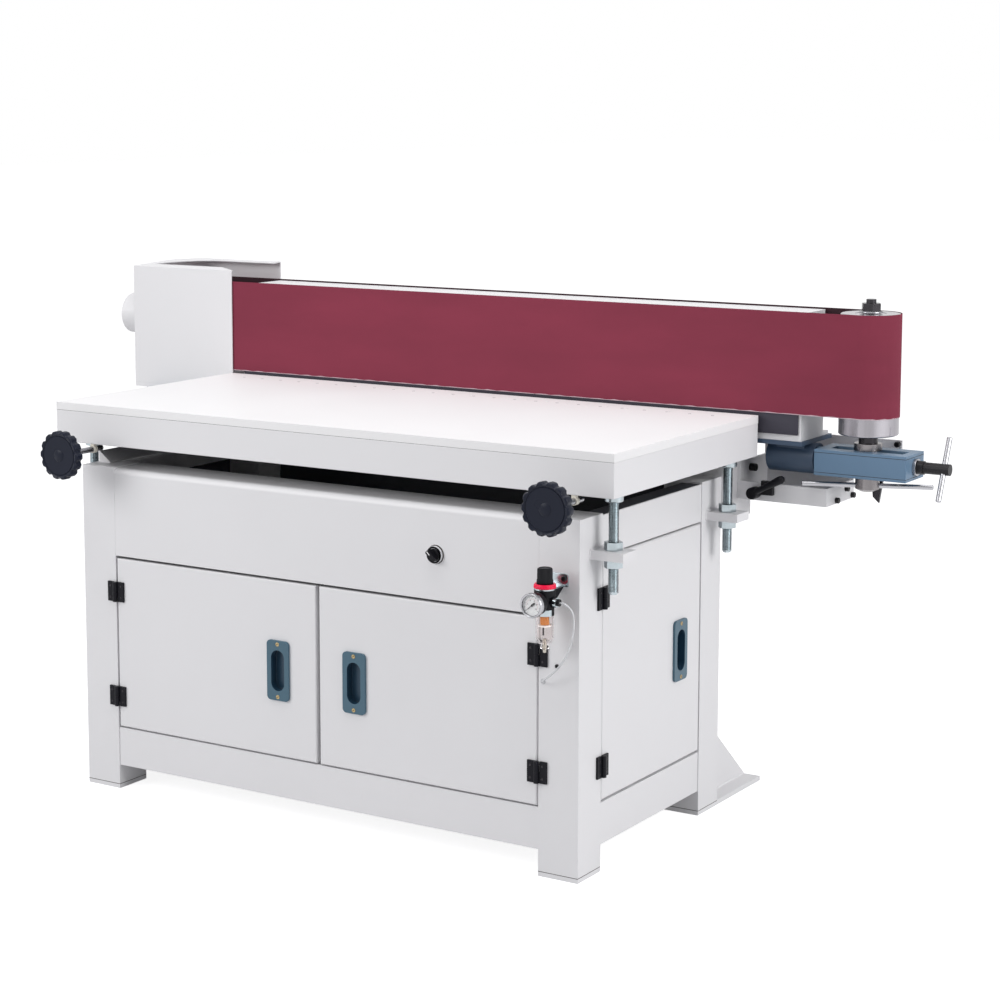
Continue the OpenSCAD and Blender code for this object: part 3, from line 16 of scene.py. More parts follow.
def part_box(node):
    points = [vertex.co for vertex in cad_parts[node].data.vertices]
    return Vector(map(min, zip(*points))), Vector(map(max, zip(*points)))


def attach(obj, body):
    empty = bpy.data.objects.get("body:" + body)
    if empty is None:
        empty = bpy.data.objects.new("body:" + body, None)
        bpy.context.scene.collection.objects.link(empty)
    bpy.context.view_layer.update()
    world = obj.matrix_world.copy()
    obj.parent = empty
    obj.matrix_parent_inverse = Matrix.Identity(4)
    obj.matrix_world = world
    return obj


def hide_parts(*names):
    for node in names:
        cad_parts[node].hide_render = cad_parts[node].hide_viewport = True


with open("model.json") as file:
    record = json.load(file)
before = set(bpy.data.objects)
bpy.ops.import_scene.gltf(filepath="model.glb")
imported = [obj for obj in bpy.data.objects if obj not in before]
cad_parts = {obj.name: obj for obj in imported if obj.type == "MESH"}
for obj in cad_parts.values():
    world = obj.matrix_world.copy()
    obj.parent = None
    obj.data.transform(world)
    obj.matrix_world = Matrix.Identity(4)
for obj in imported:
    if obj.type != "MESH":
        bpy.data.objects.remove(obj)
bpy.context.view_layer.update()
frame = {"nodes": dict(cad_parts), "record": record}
nodes = frame["nodes"]
scene = bpy.context.scene

# %% [markdown]
# The workshop drawing counts millimetres from the front left leg. The row frame counts metres from
# the middle of the machine. Small helpers turn one into the other, so every size below reads like
# the drawing, and give the corners and the middle of a solid's box in the drawing.

# %% Drawing millimetres and scene metres
MIDDLE_X = 620.0
MIDDLE_Y = 345.0
UP = Vector((0, 0, 1))
FRONT = Vector((0, -1, 0))
BACK = Vector((0, 1, 0))
RIGHT = Vector((1, 0, 0))


def at(x, y, z):
    return Vector(((x - MIDDLE_X) / 1000, (y - MIDDLE_Y) / 1000, z / 1000))


def drawing(place):
    return Vector((place.x * 1000 + MIDDLE_X, place.y * 1000 + MIDDLE_Y, place.z * 1000))


def low(name):
    return drawing(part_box(name)[0])


def high(name):
    return drawing(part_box(name)[1])


def middle(name):
    return (low(name) + high(name)) / 2


print("left leg corner at", tuple(at(0, 0, 0)))

# %% [markdown]
# The photograph was taken with a long lens, a little above the table, from the right front corner.
# The picture is a cut-out of a larger frame, so the lens axis isn't in its middle. A small camera
# shift stands for that. Angles are in radians, and the camera's place is in the drawing.

# %% Camera
AZIMUTH = 0.5804
ELEVATION = 0.1316
ROLL = 0.002
STAND = at(3270.5, -3655.2, 1464.8)
SENSOR = 36
LENS_PER_SENSOR = 2.3358
SHIFT_X = 0.07
SHIFT_Y = -0.1
FAR_CLIP = 100
forward = Vector((-math.sin(AZIMUTH) * math.cos(ELEVATION),
                  math.cos(AZIMUTH) * math.cos(ELEVATION),
                  -math.sin(ELEVATION)))
level = forward.cross(UP).normalized()
down = forward.cross(level)
right = math.cos(ROLL) * level + math.sin(ROLL) * down
below = -math.sin(ROLL) * level + math.cos(ROLL) * down
lens = bpy.data.cameras.new("photo_camera")
lens.sensor_width = SENSOR
lens.lens = LENS_PER_SENSOR * SENSOR
lens.shift_x = SHIFT_X
lens.shift_y = SHIFT_Y
lens.clip_end = FAR_CLIP
camera = bpy.data.objects.new("photo_camera", lens)
pose = Matrix((right, -below, -forward)).transposed().to_4x4()
pose.translation = STAND
camera.matrix_world = pose
scene.collection.objects.link(camera)
scene.camera = camera
print("camera at", tuple(camera.location), "lens", lens.lens)

# %% [markdown]
# The air tube is the one flexible piece. It is thin clear tube, stiff for its size, pushed into the
# regulator's outlet, hanging in a loop and going into a hole in the right leg. A curve with a round
# bevel is the natural way: its own line is the tube's centre line, and its length can be measured.
# The line is an arc at each end with a long soft curve between them.

# %% Air tube
TUBE_RADIUS = 0.002
OUTLET_Y = -45
OUTLET_Z = 541
STRAIGHT = 1
DRIFT = 2.5
TOP_BEND = 26
LOW_BEND = 20
LOW_TURN = math.radians(75)
PULL = 60
BEND_STEPS = 12
INSIDE_LEG = 16
outlet = Vector((high("air_fittings").x, OUTLET_Y, OUTLET_Z))
leg_hole = Vector((1124, 0, 376.5))
coming_from = Vector((0.83, 0, 0.56))
falling = Vector((0, 0.1, -1))


def top_bend(angle):
    fall = 1 - math.cos(angle)
    return outlet + Vector((STRAIGHT + TOP_BEND * math.sin(angle), DRIFT * fall, -TOP_BEND * fall))


def low_bend(angle):
    return leg_hole + LOW_BEND * ((1 - math.cos(angle)) * coming_from - math.sin(angle) * BACK)


toward = math.sin(LOW_TURN) * coming_from - math.cos(LOW_TURN) * BACK
hose_start = top_bend(math.pi / 2)
hose_stop = low_bend(LOW_TURN)
hose_points = [outlet]
hose_points += [top_bend(math.pi / 2 * k / BEND_STEPS) for k in range(BEND_STEPS)]
hose_points += interpolate_bezier(hose_start, hose_start + PULL * falling,
                                  hose_stop + PULL * toward, hose_stop, 2 * BEND_STEPS)
hose_points += [low_bend(LOW_TURN * (1 - k / BEND_STEPS)) for k in range(1, BEND_STEPS + 1)]
hose_points.append(leg_hole + INSIDE_LEG * BACK)
hose_line = [at(*point) for point in hose_points]
hose_curve = bpy.data.curves.new("air_tube", "CURVE")
hose_curve.dimensions = "3D"
hose_curve.bevel_depth = TUBE_RADIUS
hose_curve.bevel_resolution = 3
hose_curve.use_fill_caps = True
spline = hose_curve.splines.new("POLY")
spline.points.add(len(hose_line) - 1)
for point, place in zip(spline.points, hose_line):
    point.co = (place.x, place.y, place.z, 1)
hose = bpy.data.objects.new("air_tube", hose_curve)
scene.collection.objects.link(hose)
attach(hose, "frame")
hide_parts("air_hose")

# %% [markdown]
# The studio is a pale floor and an even white room. Both are brighter for the camera's own rays and
# for rays off metal and through glass, so that the floor runs into the white background and still
# keeps the machine's soft shadow. Three soft lamps stand above, in front and to the right.

# %% Floor, room and lamps
FLOOR_SIDE = 30
FLOOR_BACK = 60
FLOOR_GREY = (0.55, 0.55, 0.56, 1)
FLOOR_GLOW = 0.85
ROOM_TINT = (0.97, 0.98, 1.0, 1)
ROOM_STRENGTH = 0.42


def seen_rays(tree):
    path = tree.nodes.new("ShaderNodeLightPath")
    seen = path.outputs["Is Camera Ray"]
    for kind in ("Is Glossy Ray", "Is Transmission Ray"):
        either = tree.nodes.new("ShaderNodeMath")
        either.operation = "MAXIMUM"
        tree.links.new(seen, either.inputs[0])
        tree.links.new(path.outputs[kind], either.inputs[1])
        seen = either.outputs[0]
    return seen


floor_corners = [(-FLOOR_SIDE, -FLOOR_SIDE, 0), (FLOOR_SIDE, -FLOOR_SIDE, 0),
                 (FLOOR_SIDE, FLOOR_BACK, 0), (-FLOOR_SIDE, FLOOR_BACK, 0)]
floor_mesh = bpy.data.meshes.new("floor")
floor_mesh.from_pydata(floor_corners, [], [(0, 1, 2, 3)])
floor = bpy.data.objects.new("floor", floor_mesh)
scene.collection.objects.link(floor)
floor_paint = bpy.data.materials.new("studio_floor")
floor_paint.use_nodes = True
tree = floor_paint.node_tree
tree.nodes.clear()
floor_out = tree.nodes.new("ShaderNodeOutputMaterial")
floor_sum = tree.nodes.new("ShaderNodeAddShader")
floor_matt = tree.nodes.new("ShaderNodeBsdfDiffuse")
floor_matt.inputs["Color"].default_value = FLOOR_GREY
floor_glow = tree.nodes.new("ShaderNodeEmission")
floor_level = tree.nodes.new("ShaderNodeMath")
floor_level.operation = "MULTIPLY"
floor_level.inputs[1].default_value = FLOOR_GLOW
tree.links.new(seen_rays(tree), floor_level.inputs[0])
tree.links.new(floor_level.outputs[0], floor_glow.inputs["Strength"])
tree.links.new(floor_matt.outputs[0], floor_sum.inputs[0])
tree.links.new(floor_glow.outputs[0], floor_sum.inputs[1])
tree.links.new(floor_sum.outputs[0], floor_out.inputs["Surface"])
floor_mesh.materials.append(floor_paint)

world = bpy.data.worlds.new("studio")
scene.world = world
world.use_nodes = True
tree = world.node_tree
tree.nodes.clear()
world_out = tree.nodes.new("ShaderNodeOutputWorld")
world_mix = tree.nodes.new("ShaderNodeMixShader")
room_light = tree.nodes.new("ShaderNodeBackground")
room_light.inputs["Color"].default_value = ROOM_TINT
room_light.inputs["Strength"].default_value = ROOM_STRENGTH
room_white = tree.nodes.new("ShaderNodeBackground")
room_white.inputs["Color"].default_value = (1, 1, 1, 1)
tree.links.new(seen_rays(tree), world_mix.inputs[0])
tree.links.new(room_light.outputs[0], world_mix.inputs[1])
tree.links.new(room_white.outputs[0], world_mix.inputs[2])
tree.links.new(world_mix.outputs[0], world_out.inputs["Surface"])


def soft_lamp(name, place, target, size, power):
    lamp = bpy.data.lights.new(name, "AREA")
    lamp.shape = "SQUARE"
    lamp.size = size
    lamp.energy = power
    holder = bpy.data.objects.new(name, lamp)
    holder.location = place
    holder.rotation_euler = (Vector(target) - Vector(place)).to_track_quat("-Z", "Y").to_euler()
    scene.collection.objects.link(holder)


soft_lamp("lamp_overhead", place=(0.2, -0.6, 4.2), target=(0, 0.1, 0.8), size=3.0, power=70)
soft_lamp("lamp_front", place=(-2.9, -4.5, 2.8), target=(-0.1, 0, 0.7), size=3.0, power=130)
soft_lamp("lamp_right", place=(5.0, -0.2, 2.2), target=(0.4, 0, 0.6), size=2.5, power=116)
scene.view_settings.view_transform = "Standard"

# %% [markdown]
# A finish is a colour with slow cloudy variation, a roughness that wanders a little and a fine
# bump. One recipe covers paint, plastic and metal alike; what differs is the size of the grain and
# how deep it goes. The texture space is the object's own metres, so a scale of 900 means about nine
# hundred grains to the metre. Colours are written as in a picture, from 0 to 255, apart from the
# two clear ones.

# %% Recipe for a finish
CLOUD_DETAIL = 5
GRAIN_DETAIL = 2
BUMP_STRENGTH = 0.6
LEAST_ROUGH = 0.02
finishes = {}


def finish(slot, colour, rough=0.45, metal=0.0, cloud=5.0, spread=0.04, grain=900.0, depth=0.00006,
           cloud_stretch=(1, 1, 1), grain_stretch=(1, 1, 1), shine=0.5, rough_spread=0.08,
           called=None):
    made = bpy.data.materials.new(called or slot)
    made.use_nodes = True
    made.diffuse_color = (*colour, 1)
    tree = made.node_tree
    shader = tree.nodes["Principled BSDF"]
    shader.inputs["Metallic"].default_value = metal
    shader.inputs["Specular IOR Level"].default_value = shine
    space = tree.nodes.new("ShaderNodeTexCoord")

    def noise(scale, detail, stretch):
        stretched = tree.nodes.new("ShaderNodeMapping")
        stretched.inputs["Scale"].default_value = stretch
        tree.links.new(space.outputs["Object"], stretched.inputs["Vector"])
        texture = tree.nodes.new("ShaderNodeTexNoise")
        texture.inputs["Scale"].default_value = scale
        texture.inputs["Detail"].default_value = detail
        tree.links.new(stretched.outputs[0], texture.inputs["Vector"])
        return texture.outputs["Fac"]

    clouds = noise(cloud, CLOUD_DETAIL, cloud_stretch)
    grains = noise(grain, GRAIN_DETAIL, grain_stretch)
    blend = tree.nodes.new("ShaderNodeMix")
    blend.data_type = "RGBA"
    blend.inputs["A"].default_value = (*[max(c * (1 - spread), 0) for c in colour], 1)
    blend.inputs["B"].default_value = (*[min(c * (1 + spread), 1) for c in colour], 1)
    tree.links.new(clouds, blend.inputs["Factor"])
    tree.links.new(blend.outputs["Result"], shader.inputs["Base Color"])
    gloss = tree.nodes.new("ShaderNodeMapRange")
    gloss.inputs["To Min"].default_value = max(rough - rough_spread, LEAST_ROUGH)
    gloss.inputs["To Max"].default_value = min(rough + rough_spread, 1)
    tree.links.new(clouds, gloss.inputs["Value"])
    tree.links.new(gloss.outputs["Result"], shader.inputs["Roughness"])
    bump = tree.nodes.new("ShaderNodeBump")
    bump.inputs["Strength"].default_value = BUMP_STRENGTH
    bump.inputs["Distance"].default_value = depth
    tree.links.new(grains, bump.inputs["Height"])
    tree.links.new(bump.outputs["Normal"], shader.inputs["Normal"])
    finishes[slot] = made


def srgb(r, g, b):
    return tuple(((c / 255 + 0.055) / 1.055) ** 2.4 if c > 10 else c / 3295 for c in (r, g, b))


finish("white_paint", srgb(227, 226, 228), 0.42, grain=700, depth=0.00012, spread=0.02,
       called="white_powder_coat")
# Painted shade: dark grey for the inward faces of the cabinet and skirt, the rails' upper faces and
# the table's underside.
finish("inside_painted_shade", srgb(66, 67, 74), 0.6, grain=700, spread=0.08)
finish("table_white", srgb(240, 239, 240), 0.5, grain=500, depth=0.00005, spread=0.012, shine=0.15)
finish("boss_cream", srgb(222, 217, 205), 0.45, called="cream_paint")
finish("hinge_black", srgb(20, 20, 26), 0.42, grain=1500, spread=0.12, shine=0.12)
finish("pull_blue", srgb(72, 101, 117), 0.36, grain=1800, depth=0.00005, spread=0.06, shine=0.3,
       called="blue_grey_pull")
# Painted shade: the pulls' cups, darker than the plates for the shade in the recess.
finish("pull_cup_painted_shade", srgb(34, 62, 82), 0.3, grain=1800, depth=0.00005, spread=0.06, shine=0.4,
       called="blue_grey_cup_painted_shade")
finish("zinc", srgb(168, 177, 181), 0.22, 1.0, cloud=60, spread=0.25, grain=1400,
       called="zinc_plate")
finish("knob_plastic", srgb(27, 31, 45), 0.3, grain=1600, depth=0.00004, spread=0.1, shine=0.14)
finish("bright_steel", srgb(166, 166, 170), 0.27, 1.0, cloud=30, spread=0.15, depth=0.000004)
# Painted shade and reflection: a darker steel with streaks, for metal that shows darker shading.
finish("steel_with_painted_shade", srgb(132, 128, 129), 0.27, 1.0, cloud=40, spread=0.6, depth=0.00002,
       cloud_stretch=(1, 1, 0.1))
finish("black_plastic", srgb(16, 16, 21), 0.4, grain=1500, spread=0.1, shine=0.14)
finish("red_plastic", srgb(246, 6, 68), 0.38, grain=1200, depth=0.00002, spread=0.04, shine=0.3)
finish("dial_white", srgb(248, 248, 248), 0.5, depth=0.00001, spread=0.01, shine=0.2)
finish("needle_black", srgb(12, 12, 14), 0.5, shine=0.1)
finish("dial_red", srgb(200, 60, 80), 0.5)
finish("filter_bronze", srgb(208, 130, 62), 0.7, grain=2500, depth=0.0003, spread=0.12)
finish("drain_brass", srgb(170, 165, 156), 0.35, 1.0, spread=0.06)
finish("screw_brass", srgb(158, 140, 104), 0.3, 1.0, cloud=200, spread=0.2)
finish("hose_clear", srgb(232, 233, 235), 0.25, spread=0.02)
finish("electric_grey", srgb(150, 152, 156), 0.5, grain=1200)
finish("bolt_black", srgb(26, 25, 28), 0.38, cloud=60, spread=0.15, grain=1500, shine=0.25,
       called="black_oxide")
finish("platen_grey", srgb(60, 58, 68), 0.5, cloud=9, spread=0.2, grain=1500,
       cloud_stretch=(0.3, 0.3, 1), shine=0.25, called="platen_graphite")
# The strong upright light and dark bands in this steel's colour are painted reflection; the stretched
# bump is the turning marks.
finish("turned_steel", srgb(164, 161, 166), 0.22, 1.0, cloud=24, spread=0.8, grain=260,
       depth=0.00006, cloud_stretch=(1, 1, 0.03), grain_stretch=(0.05, 0.05, 6))
finish("motor_grey", srgb(112, 124, 134), 0.45, grain=600, depth=0.0001, called="motor_paint")
finish("dark_steel", srgb(58, 56, 59), 0.26, 1.0, cloud=50, spread=0.3, grain=1500)
finish("silver_ring", srgb(226, 226, 229), 0.3, 0.25, spread=0.03)
finish("arm_blue", srgb(58, 76, 98), 0.4, grain=500, depth=0.0002, spread=0.08,
       called="arm_dark_blue")
finish("box_blue", srgb(94, 123, 150), 0.42, grain=420, depth=0.0003, spread=0.06)
finish("abrasive", srgb(130, 53, 71), 0.85, cloud=9, spread=0.2, grain=2200, depth=0.0006,
       cloud_stretch=(0.35, 0.35, 1.3), shine=0.2, called="abrasive_cloth")
# The belt's inside: a cloth back, painted dark partly for the shade inside the loop.
finish("belt_back_and_painted_shade", srgb(60, 40, 46), 0.9, cloud=20, spread=0.12, grain=1500, depth=0.0003,
       grain_stretch=(0.3, 0.3, 1), shine=0.2, called="belt_back_cloth_and_painted_shade")
finish("hem_pale", srgb(196, 172, 180), 0.9, cloud=60, spread=0.2, grain=2200, depth=0.0002,
       shine=0.1)
# Dark for the joint lines between plates, and painted shade for screw slots, the selector ring's outer
# edge and the cowl's openings.
finish("joint_and_shade_dark", srgb(62, 58, 56), 0.8, spread=0.15, shine=0.2)
finish("bowl_clear", (0.93, 0.89, 0.88), 0.06, spread=0.02, depth=0.000004, rough_spread=0.02)
finish("lens_clear", (0.95, 0.96, 0.97), 0.05, spread=0.01, depth=0.00001)
LENS_ALPHA = 0.04
CLEAR_SHARE = {"bowl_clear": 1.0, "hose_clear": 0.35}
CLEAR_IOR = 1.2
finishes["lens_clear"].node_tree.nodes["Principled BSDF"].inputs["Alpha"].default_value = LENS_ALPHA
for name, share in CLEAR_SHARE.items():
    clear = finishes[name].node_tree.nodes["Principled BSDF"]
    clear.inputs["Transmission Weight"].default_value = share
    clear.inputs["IOR"].default_value = CLEAR_IOR
hose_curve.materials.append(finishes["hose_clear"])
print("finishes", len(finishes))

# %% [markdown]
# Real edges are never knife sharp. Each solid from the CAD gets a few modifiers: a weld joins the
# seams that the file format cuts, a decimate clears the triangles of flat faces, and a small bevel
# rounds the edges. The solid itself stays as it is. Edge widths are in millimetres.

# %% Soft edges and finishes on the CAD solids
EDGE = {"legs": 3.0, "rails": 2.0, "panels": 0.8, "lift_brackets": 1.5, "table_top": 1.6,
        "table_skirt": 1.6, "door_left": 0.8, "door_right": 0.8, "door_side": 0.8, "pull_left": 1.8,
        "pull_right": 1.8, "pull_side": 1.8, "arm": 1.5, "tension_box": 2.0, "guard": 0.8,
        "platen_channel": 0.9, "carrier": 1.5, "end_bracket": 1.0, "lift_nuts": 1.2,
        "idler_nut": 1.2, "knob_bosses": 1.5, "air_body": 2.5, "air_bracket": 0.7, "motor": 0.8,
        "sanding_belt": 0, "gauge_dial": 0, "air_bowl": 0, "platen": 0.8, "idler_drum": 0.8,
        "lock_boss": 0.8, "tension_screw": 0.8, "electrics": 1.0}
PLAIN_EDGE = 0.5
ROUNDED_FROM = math.radians(40)
CREASED_FROM = math.radians(35)
FLAT_WITHIN = math.radians(0.4)
WELD_GAP = 0.000005
LARGE_FACE_WEIGHT = 90
slot_of = {part["node"]: part["material_slot"] for part in frame["record"]["subparts"]}


def soften(thing, width):
    if width:
        edge = thing.modifiers.new("edge", "BEVEL")
        edge.width = width / 1000
        edge.segments = 2
        edge.limit_method = "ANGLE"
        edge.angle_limit = ROUNDED_FROM
        edge.use_clamp_overlap = True
        even = thing.modifiers.new("even", "WEIGHTED_NORMAL")
        even.weight = LARGE_FACE_WEIGHT
    else:
        crease = thing.modifiers.new("crease", "EDGE_SPLIT")
        crease.split_angle = CREASED_FROM


for name, node in nodes.items():
    node.data.materials.clear()
    node.data.materials.append(finishes[slot_of[name]])
    node.data.polygons.foreach_set("use_smooth", [True] * len(node.data.polygons))
    weld = node.modifiers.new("weld", "WELD")
    weld.merge_threshold = WELD_GAP
    flat = node.modifiers.new("flat", "DECIMATE")
    flat.decimate_type = "DISSOLVE"
    flat.angle_limit = FLAT_WITHIN
    flat.delimit = {"MATERIAL"}
    soften(node, EDGE.get(name, PLAIN_EDGE))
print("softened", len(nodes), "solids")

# %% [markdown]
# Some solids carry two finishes or three. The belt is abrasive outside and a cloth back inside,
# painted dark as the shade inside the loop. A pull's cup is painted darker than its plate as the
# shade in its recess, its screws are brass, and the gauge has a bright rim on a black case. The
# cabinet and the table are white outside; their inward faces and the table's underside are painted
# dark grey as the shade inside and under them. Each test below looks at a face's middle, in drawing
# millimetres, and at its direction.

# %% Second finishes on parts of solids
PULL_SCREW_HIGH = 1.15
CUP_FROM_DOOR = 0.5
CUP_FROM_PLATE = 5
GAUGE_RIM = 9
OUTLET_COLLAR = 5
FILTER_BRONZE = 17.9
FILTER_WHITE = 21.1
FLANGE_HIGH = 14.5
WASHER_HIGH = 3.1
INNER_FITTING = 50
BEHIND_LEGS = 30
LEFT_RAIL = 90
RAIL_LIP_LOW = 60
RAIL_LIP_HIGH = 1
TOP_RAIL_HIGH = 70
# Cosines that tell which way a face looks
UPRIGHT = 0.3
SLOPING = 0.5
LEVEL = 0.9


def paint_where(name, finish_name, test):
    mesh = nodes[name].data
    mesh.materials.append(finishes[finish_name])
    painted = [face for face in mesh.polygons if test(drawing(face.center), face.normal)]
    for face in painted:
        face.material_index = len(mesh.materials) - 1
    print(name, finish_name, len(painted), "faces")


belt_axis_y = middle("sanding_belt").y
belt_half = (high("sanding_belt").y - low("sanding_belt").y) / 2
belt_left = low("sanding_belt").x + belt_half
belt_right = high("sanding_belt").x - belt_half


def belt_inside(place, normal):
    nearest = Vector((min(max(place.x, belt_left), belt_right), belt_axis_y, place.z))
    return normal.dot(place - nearest) < 0 and abs(normal.z) < SLOPING


# The belt's inward faces are a cloth back, painted dark partly as the shade inside the loop.
paint_where("sanding_belt", "belt_back_and_painted_shade", belt_inside)
# Painted shade: each pull's cup is darker than its plate, for the shade in the recess.
for name in ("pull_left", "pull_right"):
    screw_foot = low(name).y + PULL_SCREW_HIGH
    paint_where(name, "pull_cup_painted_shade",
                lambda place, normal: place.y > CUP_FROM_DOOR and normal.y < UPRIGHT)
    paint_where(name, "screw_brass", lambda place, normal: place.y < screw_foot)
side_cup = high("pull_side").x - CUP_FROM_PLATE
screw_foot = high("pull_side").x - PULL_SCREW_HIGH
paint_where("pull_side", "pull_cup_painted_shade",
            lambda place, normal: place.x < side_cup and normal.x > -UPRIGHT)
paint_where("pull_side", "screw_brass", lambda place, normal: place.x > screw_foot)
gauge_front = low("gauge_case").y
paint_where("gauge_case", "black_plastic", lambda place, normal: place.y > gauge_front + GAUGE_RIM)
paint_where("air_fittings", "black_plastic", lambda place, normal: place.x > outlet.x - OUTLET_COLLAR)
filter_top = high("air_filter").z
paint_where("air_filter", "dial_white", lambda place, normal: place.z < filter_top - FILTER_BRONZE)
paint_where("air_filter", "dark_steel", lambda place, normal: place.z < filter_top - FILTER_WHITE)
flange_z = high("tension_box").z
nut_z = low("idler_nut").z
fitting_x = high("tension_box").x - INNER_FITTING
# Painted shade: the lock boss and the shaft's flange take the darker streaky steel for their darker
# reflections.
paint_where("lock_boss", "steel_with_painted_shade", lambda place, normal: True)
paint_where("idler_shaft", "steel_with_painted_shade",
            lambda place, normal: flange_z < place.z < flange_z + FLANGE_HIGH)
paint_where("idler_nut", "bright_steel", lambda place, normal: place.z < nut_z + WASHER_HIGH)
paint_where("box_fittings", "dark_steel", lambda place, normal: place.x < fitting_x)


def faces_middle(name):
    centre = middle(name)
    behind_legs = high("legs").y + BEHIND_LEGS
    return lambda place, normal: (abs(normal.z) < UPRIGHT and place.y < behind_legs
                                  and normal.xy.dot((centre - place).xy) > 0)


# Painted shade: the inward faces of the panels, rails and skirt, the rails' upper faces below the leg
# tops and the table's underside go dark grey for the shade inside the cabinet and under the table. The
# left rail's faces near the top stay white.
for name in ("panels", "rails", "table_skirt"):
    paint_where(name, "inside_painted_shade", faces_middle(name))
legs_top = high("legs").z
paint_where("rails", "inside_painted_shade",
            lambda place, normal: (normal.z > LEVEL
                                   and legs_top - RAIL_LIP_LOW < place.z < legs_top - RAIL_LIP_HIGH))
paint_where("rails", "white_paint",
            lambda place, normal: place.x < LEFT_RAIL and legs_top - TOP_RAIL_HIGH < place.z)
paint_where("table_top", "inside_painted_shade", lambda place, normal: normal.z < -SLOPING)

# %% [markdown]
# ## Pieces with more detail than the solids
# A piece is drawn round an upright axis, in millimetres, and then laid where it belongs. `lathe`
# turns a profile of radius and height pairs, and a wave can push the rim in and out for lobes and
# ribs. `prism` stretches an outline. `lay` points the upright axis along a direction and moves the
# shape to its place in the drawing, and `spun` is a lathe and a lay in one.

# %% Shape helpers
def lathe(profile, steps, wave=None, closed=False):
    rows = len(profile)
    verts = []
    for radius, height in profile:
        for k in range(steps):
            angle = 2 * math.pi * k / steps
            reach = wave(angle, radius) if wave else radius
            verts.append((reach * math.cos(angle), reach * math.sin(angle), height))
    faces = []
    for i in range(rows if closed else rows - 1):
        for k in range(steps):
            n = (k + 1) % steps
            j = (i + 1) % rows
            faces.append((i * steps + k, i * steps + n, j * steps + n, j * steps + k))
    if not closed:
        faces.append(tuple(reversed(range(steps))))
        faces.append(tuple(range((rows - 1) * steps, rows * steps)))
    return verts, faces


def prism(outline, bottom, top):
    count = len(outline)
    verts = [(x, y, bottom) for x, y in outline] + [(x, y, top) for x, y in outline]
    faces = [(k, (k + 1) % count, count + (k + 1) % count, count + k) for k in range(count)]
    faces.append(tuple(reversed(range(count))))
    faces.append(tuple(range(count, 2 * count)))
    return verts, faces


def slab(x0, x1, y0, y1, z0, z1):
    return prism([(x0, y0), (x1, y0), (x1, y1), (x0, y1)], z0, z1)


def lay(shape, place, axis=UP, turn=0.0):
    spin = Matrix.Rotation(math.radians(turn), 4, "Z")
    tilt = UP.rotation_difference(axis).to_matrix().to_4x4()
    move = Matrix.Translation(Vector(place)) @ tilt @ spin
    return [move @ Vector(v) for v in shape[0]], shape[1]


def spun(profile, steps, place, axis=UP, wave=None, closed=False):
    return lay(lathe(profile, steps, wave, closed), place, axis)


def piece(name, shapes, slot_name, body, stands_for=(), edge=0.0):
    verts = []
    faces = []
    for shape in shapes:
        first = len(verts)
        verts.extend(at(*v) for v in shape[0])
        faces.extend(tuple(i + first for i in face) for face in shape[1])
    mesh = bpy.data.meshes.new(name)
    mesh.from_pydata(verts, [], faces)
    work = bmesh.new()
    work.from_mesh(mesh)
    bmesh.ops.recalc_face_normals(work, faces=work.faces)
    work.to_mesh(mesh)
    work.free()
    mesh.polygons.foreach_set("use_smooth", [True] * len(mesh.polygons))
    mesh.materials.append(finishes[slot_name])
    made = bpy.data.objects.new(name, mesh)
    scene.collection.objects.link(made)
    soften(made, edge)
    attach(made, body)
    if stands_for:
        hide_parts(*stands_for)
    print(name, len(mesh.vertices), "points on", body)


# %% [markdown]
# The clamp knobs have fourteen finger grooves in the rim. The face is a smooth disc with a fine
# ring near its edge and a low cap in its middle. Its profile pairs a radius with a depth below the
# knob's front.

# %% Clamp knobs
LOBES = 14
LOBE_STEPS = 12
GROOVE = 4.2
GROOVE_SHARE = 0.55
GROOVE_FADE = 4
FACE_R = 44.0
RIM_R = 5
RIM_ANGLES = (0.3, 0.7, 1.1, 1.5708)
HUB_HIGH = 6
KNOB_FACE = [(0.05, 1.2), (11, 1.2), (12.2, 1.8), (12.8, 2.6), (FACE_R - 4.5, 2.2),
             (FACE_R - 3.7, 3.2), (FACE_R - 2.9, 3.2), (FACE_R - 2, 2), (FACE_R, 0.8)]


def lobed(angle, radius):
    offset = abs((angle * LOBES / (2 * math.pi)) % 1 - 0.5) * 2
    depth = GROOVE * max(0.0, 1 - (offset / GROOVE_SHARE) ** 2)
    return radius - depth * min(1.0, max(0.0, (radius - FACE_R) / GROOVE_FADE))


for side in ("left", "right"):
    node = "knob_" + side
    radius = (high(node).x - low(node).x) / 2
    half = (high(node).y - low(node).y) / 2
    face = [(reach, half - depth) for reach, depth in KNOB_FACE]
    rim = [(radius - RIM_R + RIM_R * math.sin(a), half - RIM_R + RIM_R * math.cos(a))
           for a in RIM_ANGLES]
    back = [(r, -h) for r, h in reversed(rim)]
    rear = [(42, -half), (20, -half), (18, -half - HUB_HIGH), (8, -half - HUB_HIGH)]
    knob = spun(face + rim + back + rear, LOBES * LOBE_STEPS, middle(node), FRONT, lobed)
    piece("clamp_knob_" + side, [knob], "knob_plastic", node, [node])

# %% [markdown]
# The lifting screws are real threads: one long strip winds up the rod, from crest to root and back
# to the next crest. A plain core fills it, and a collar ends it under the table.

# %% Lifting screws
PITCH = 2.5
ROUND = 24
ROD_R = 10.0
ROOT_R = 8.8
CORE_R = 8.9
TIP_R = 7.5
TIP_HIGH = 3
COLLAR_R = 18.0
COLLAR_HIGH = 16
COLLAR_EDGE = 1.5
LEFT_FRONT_Y = 76


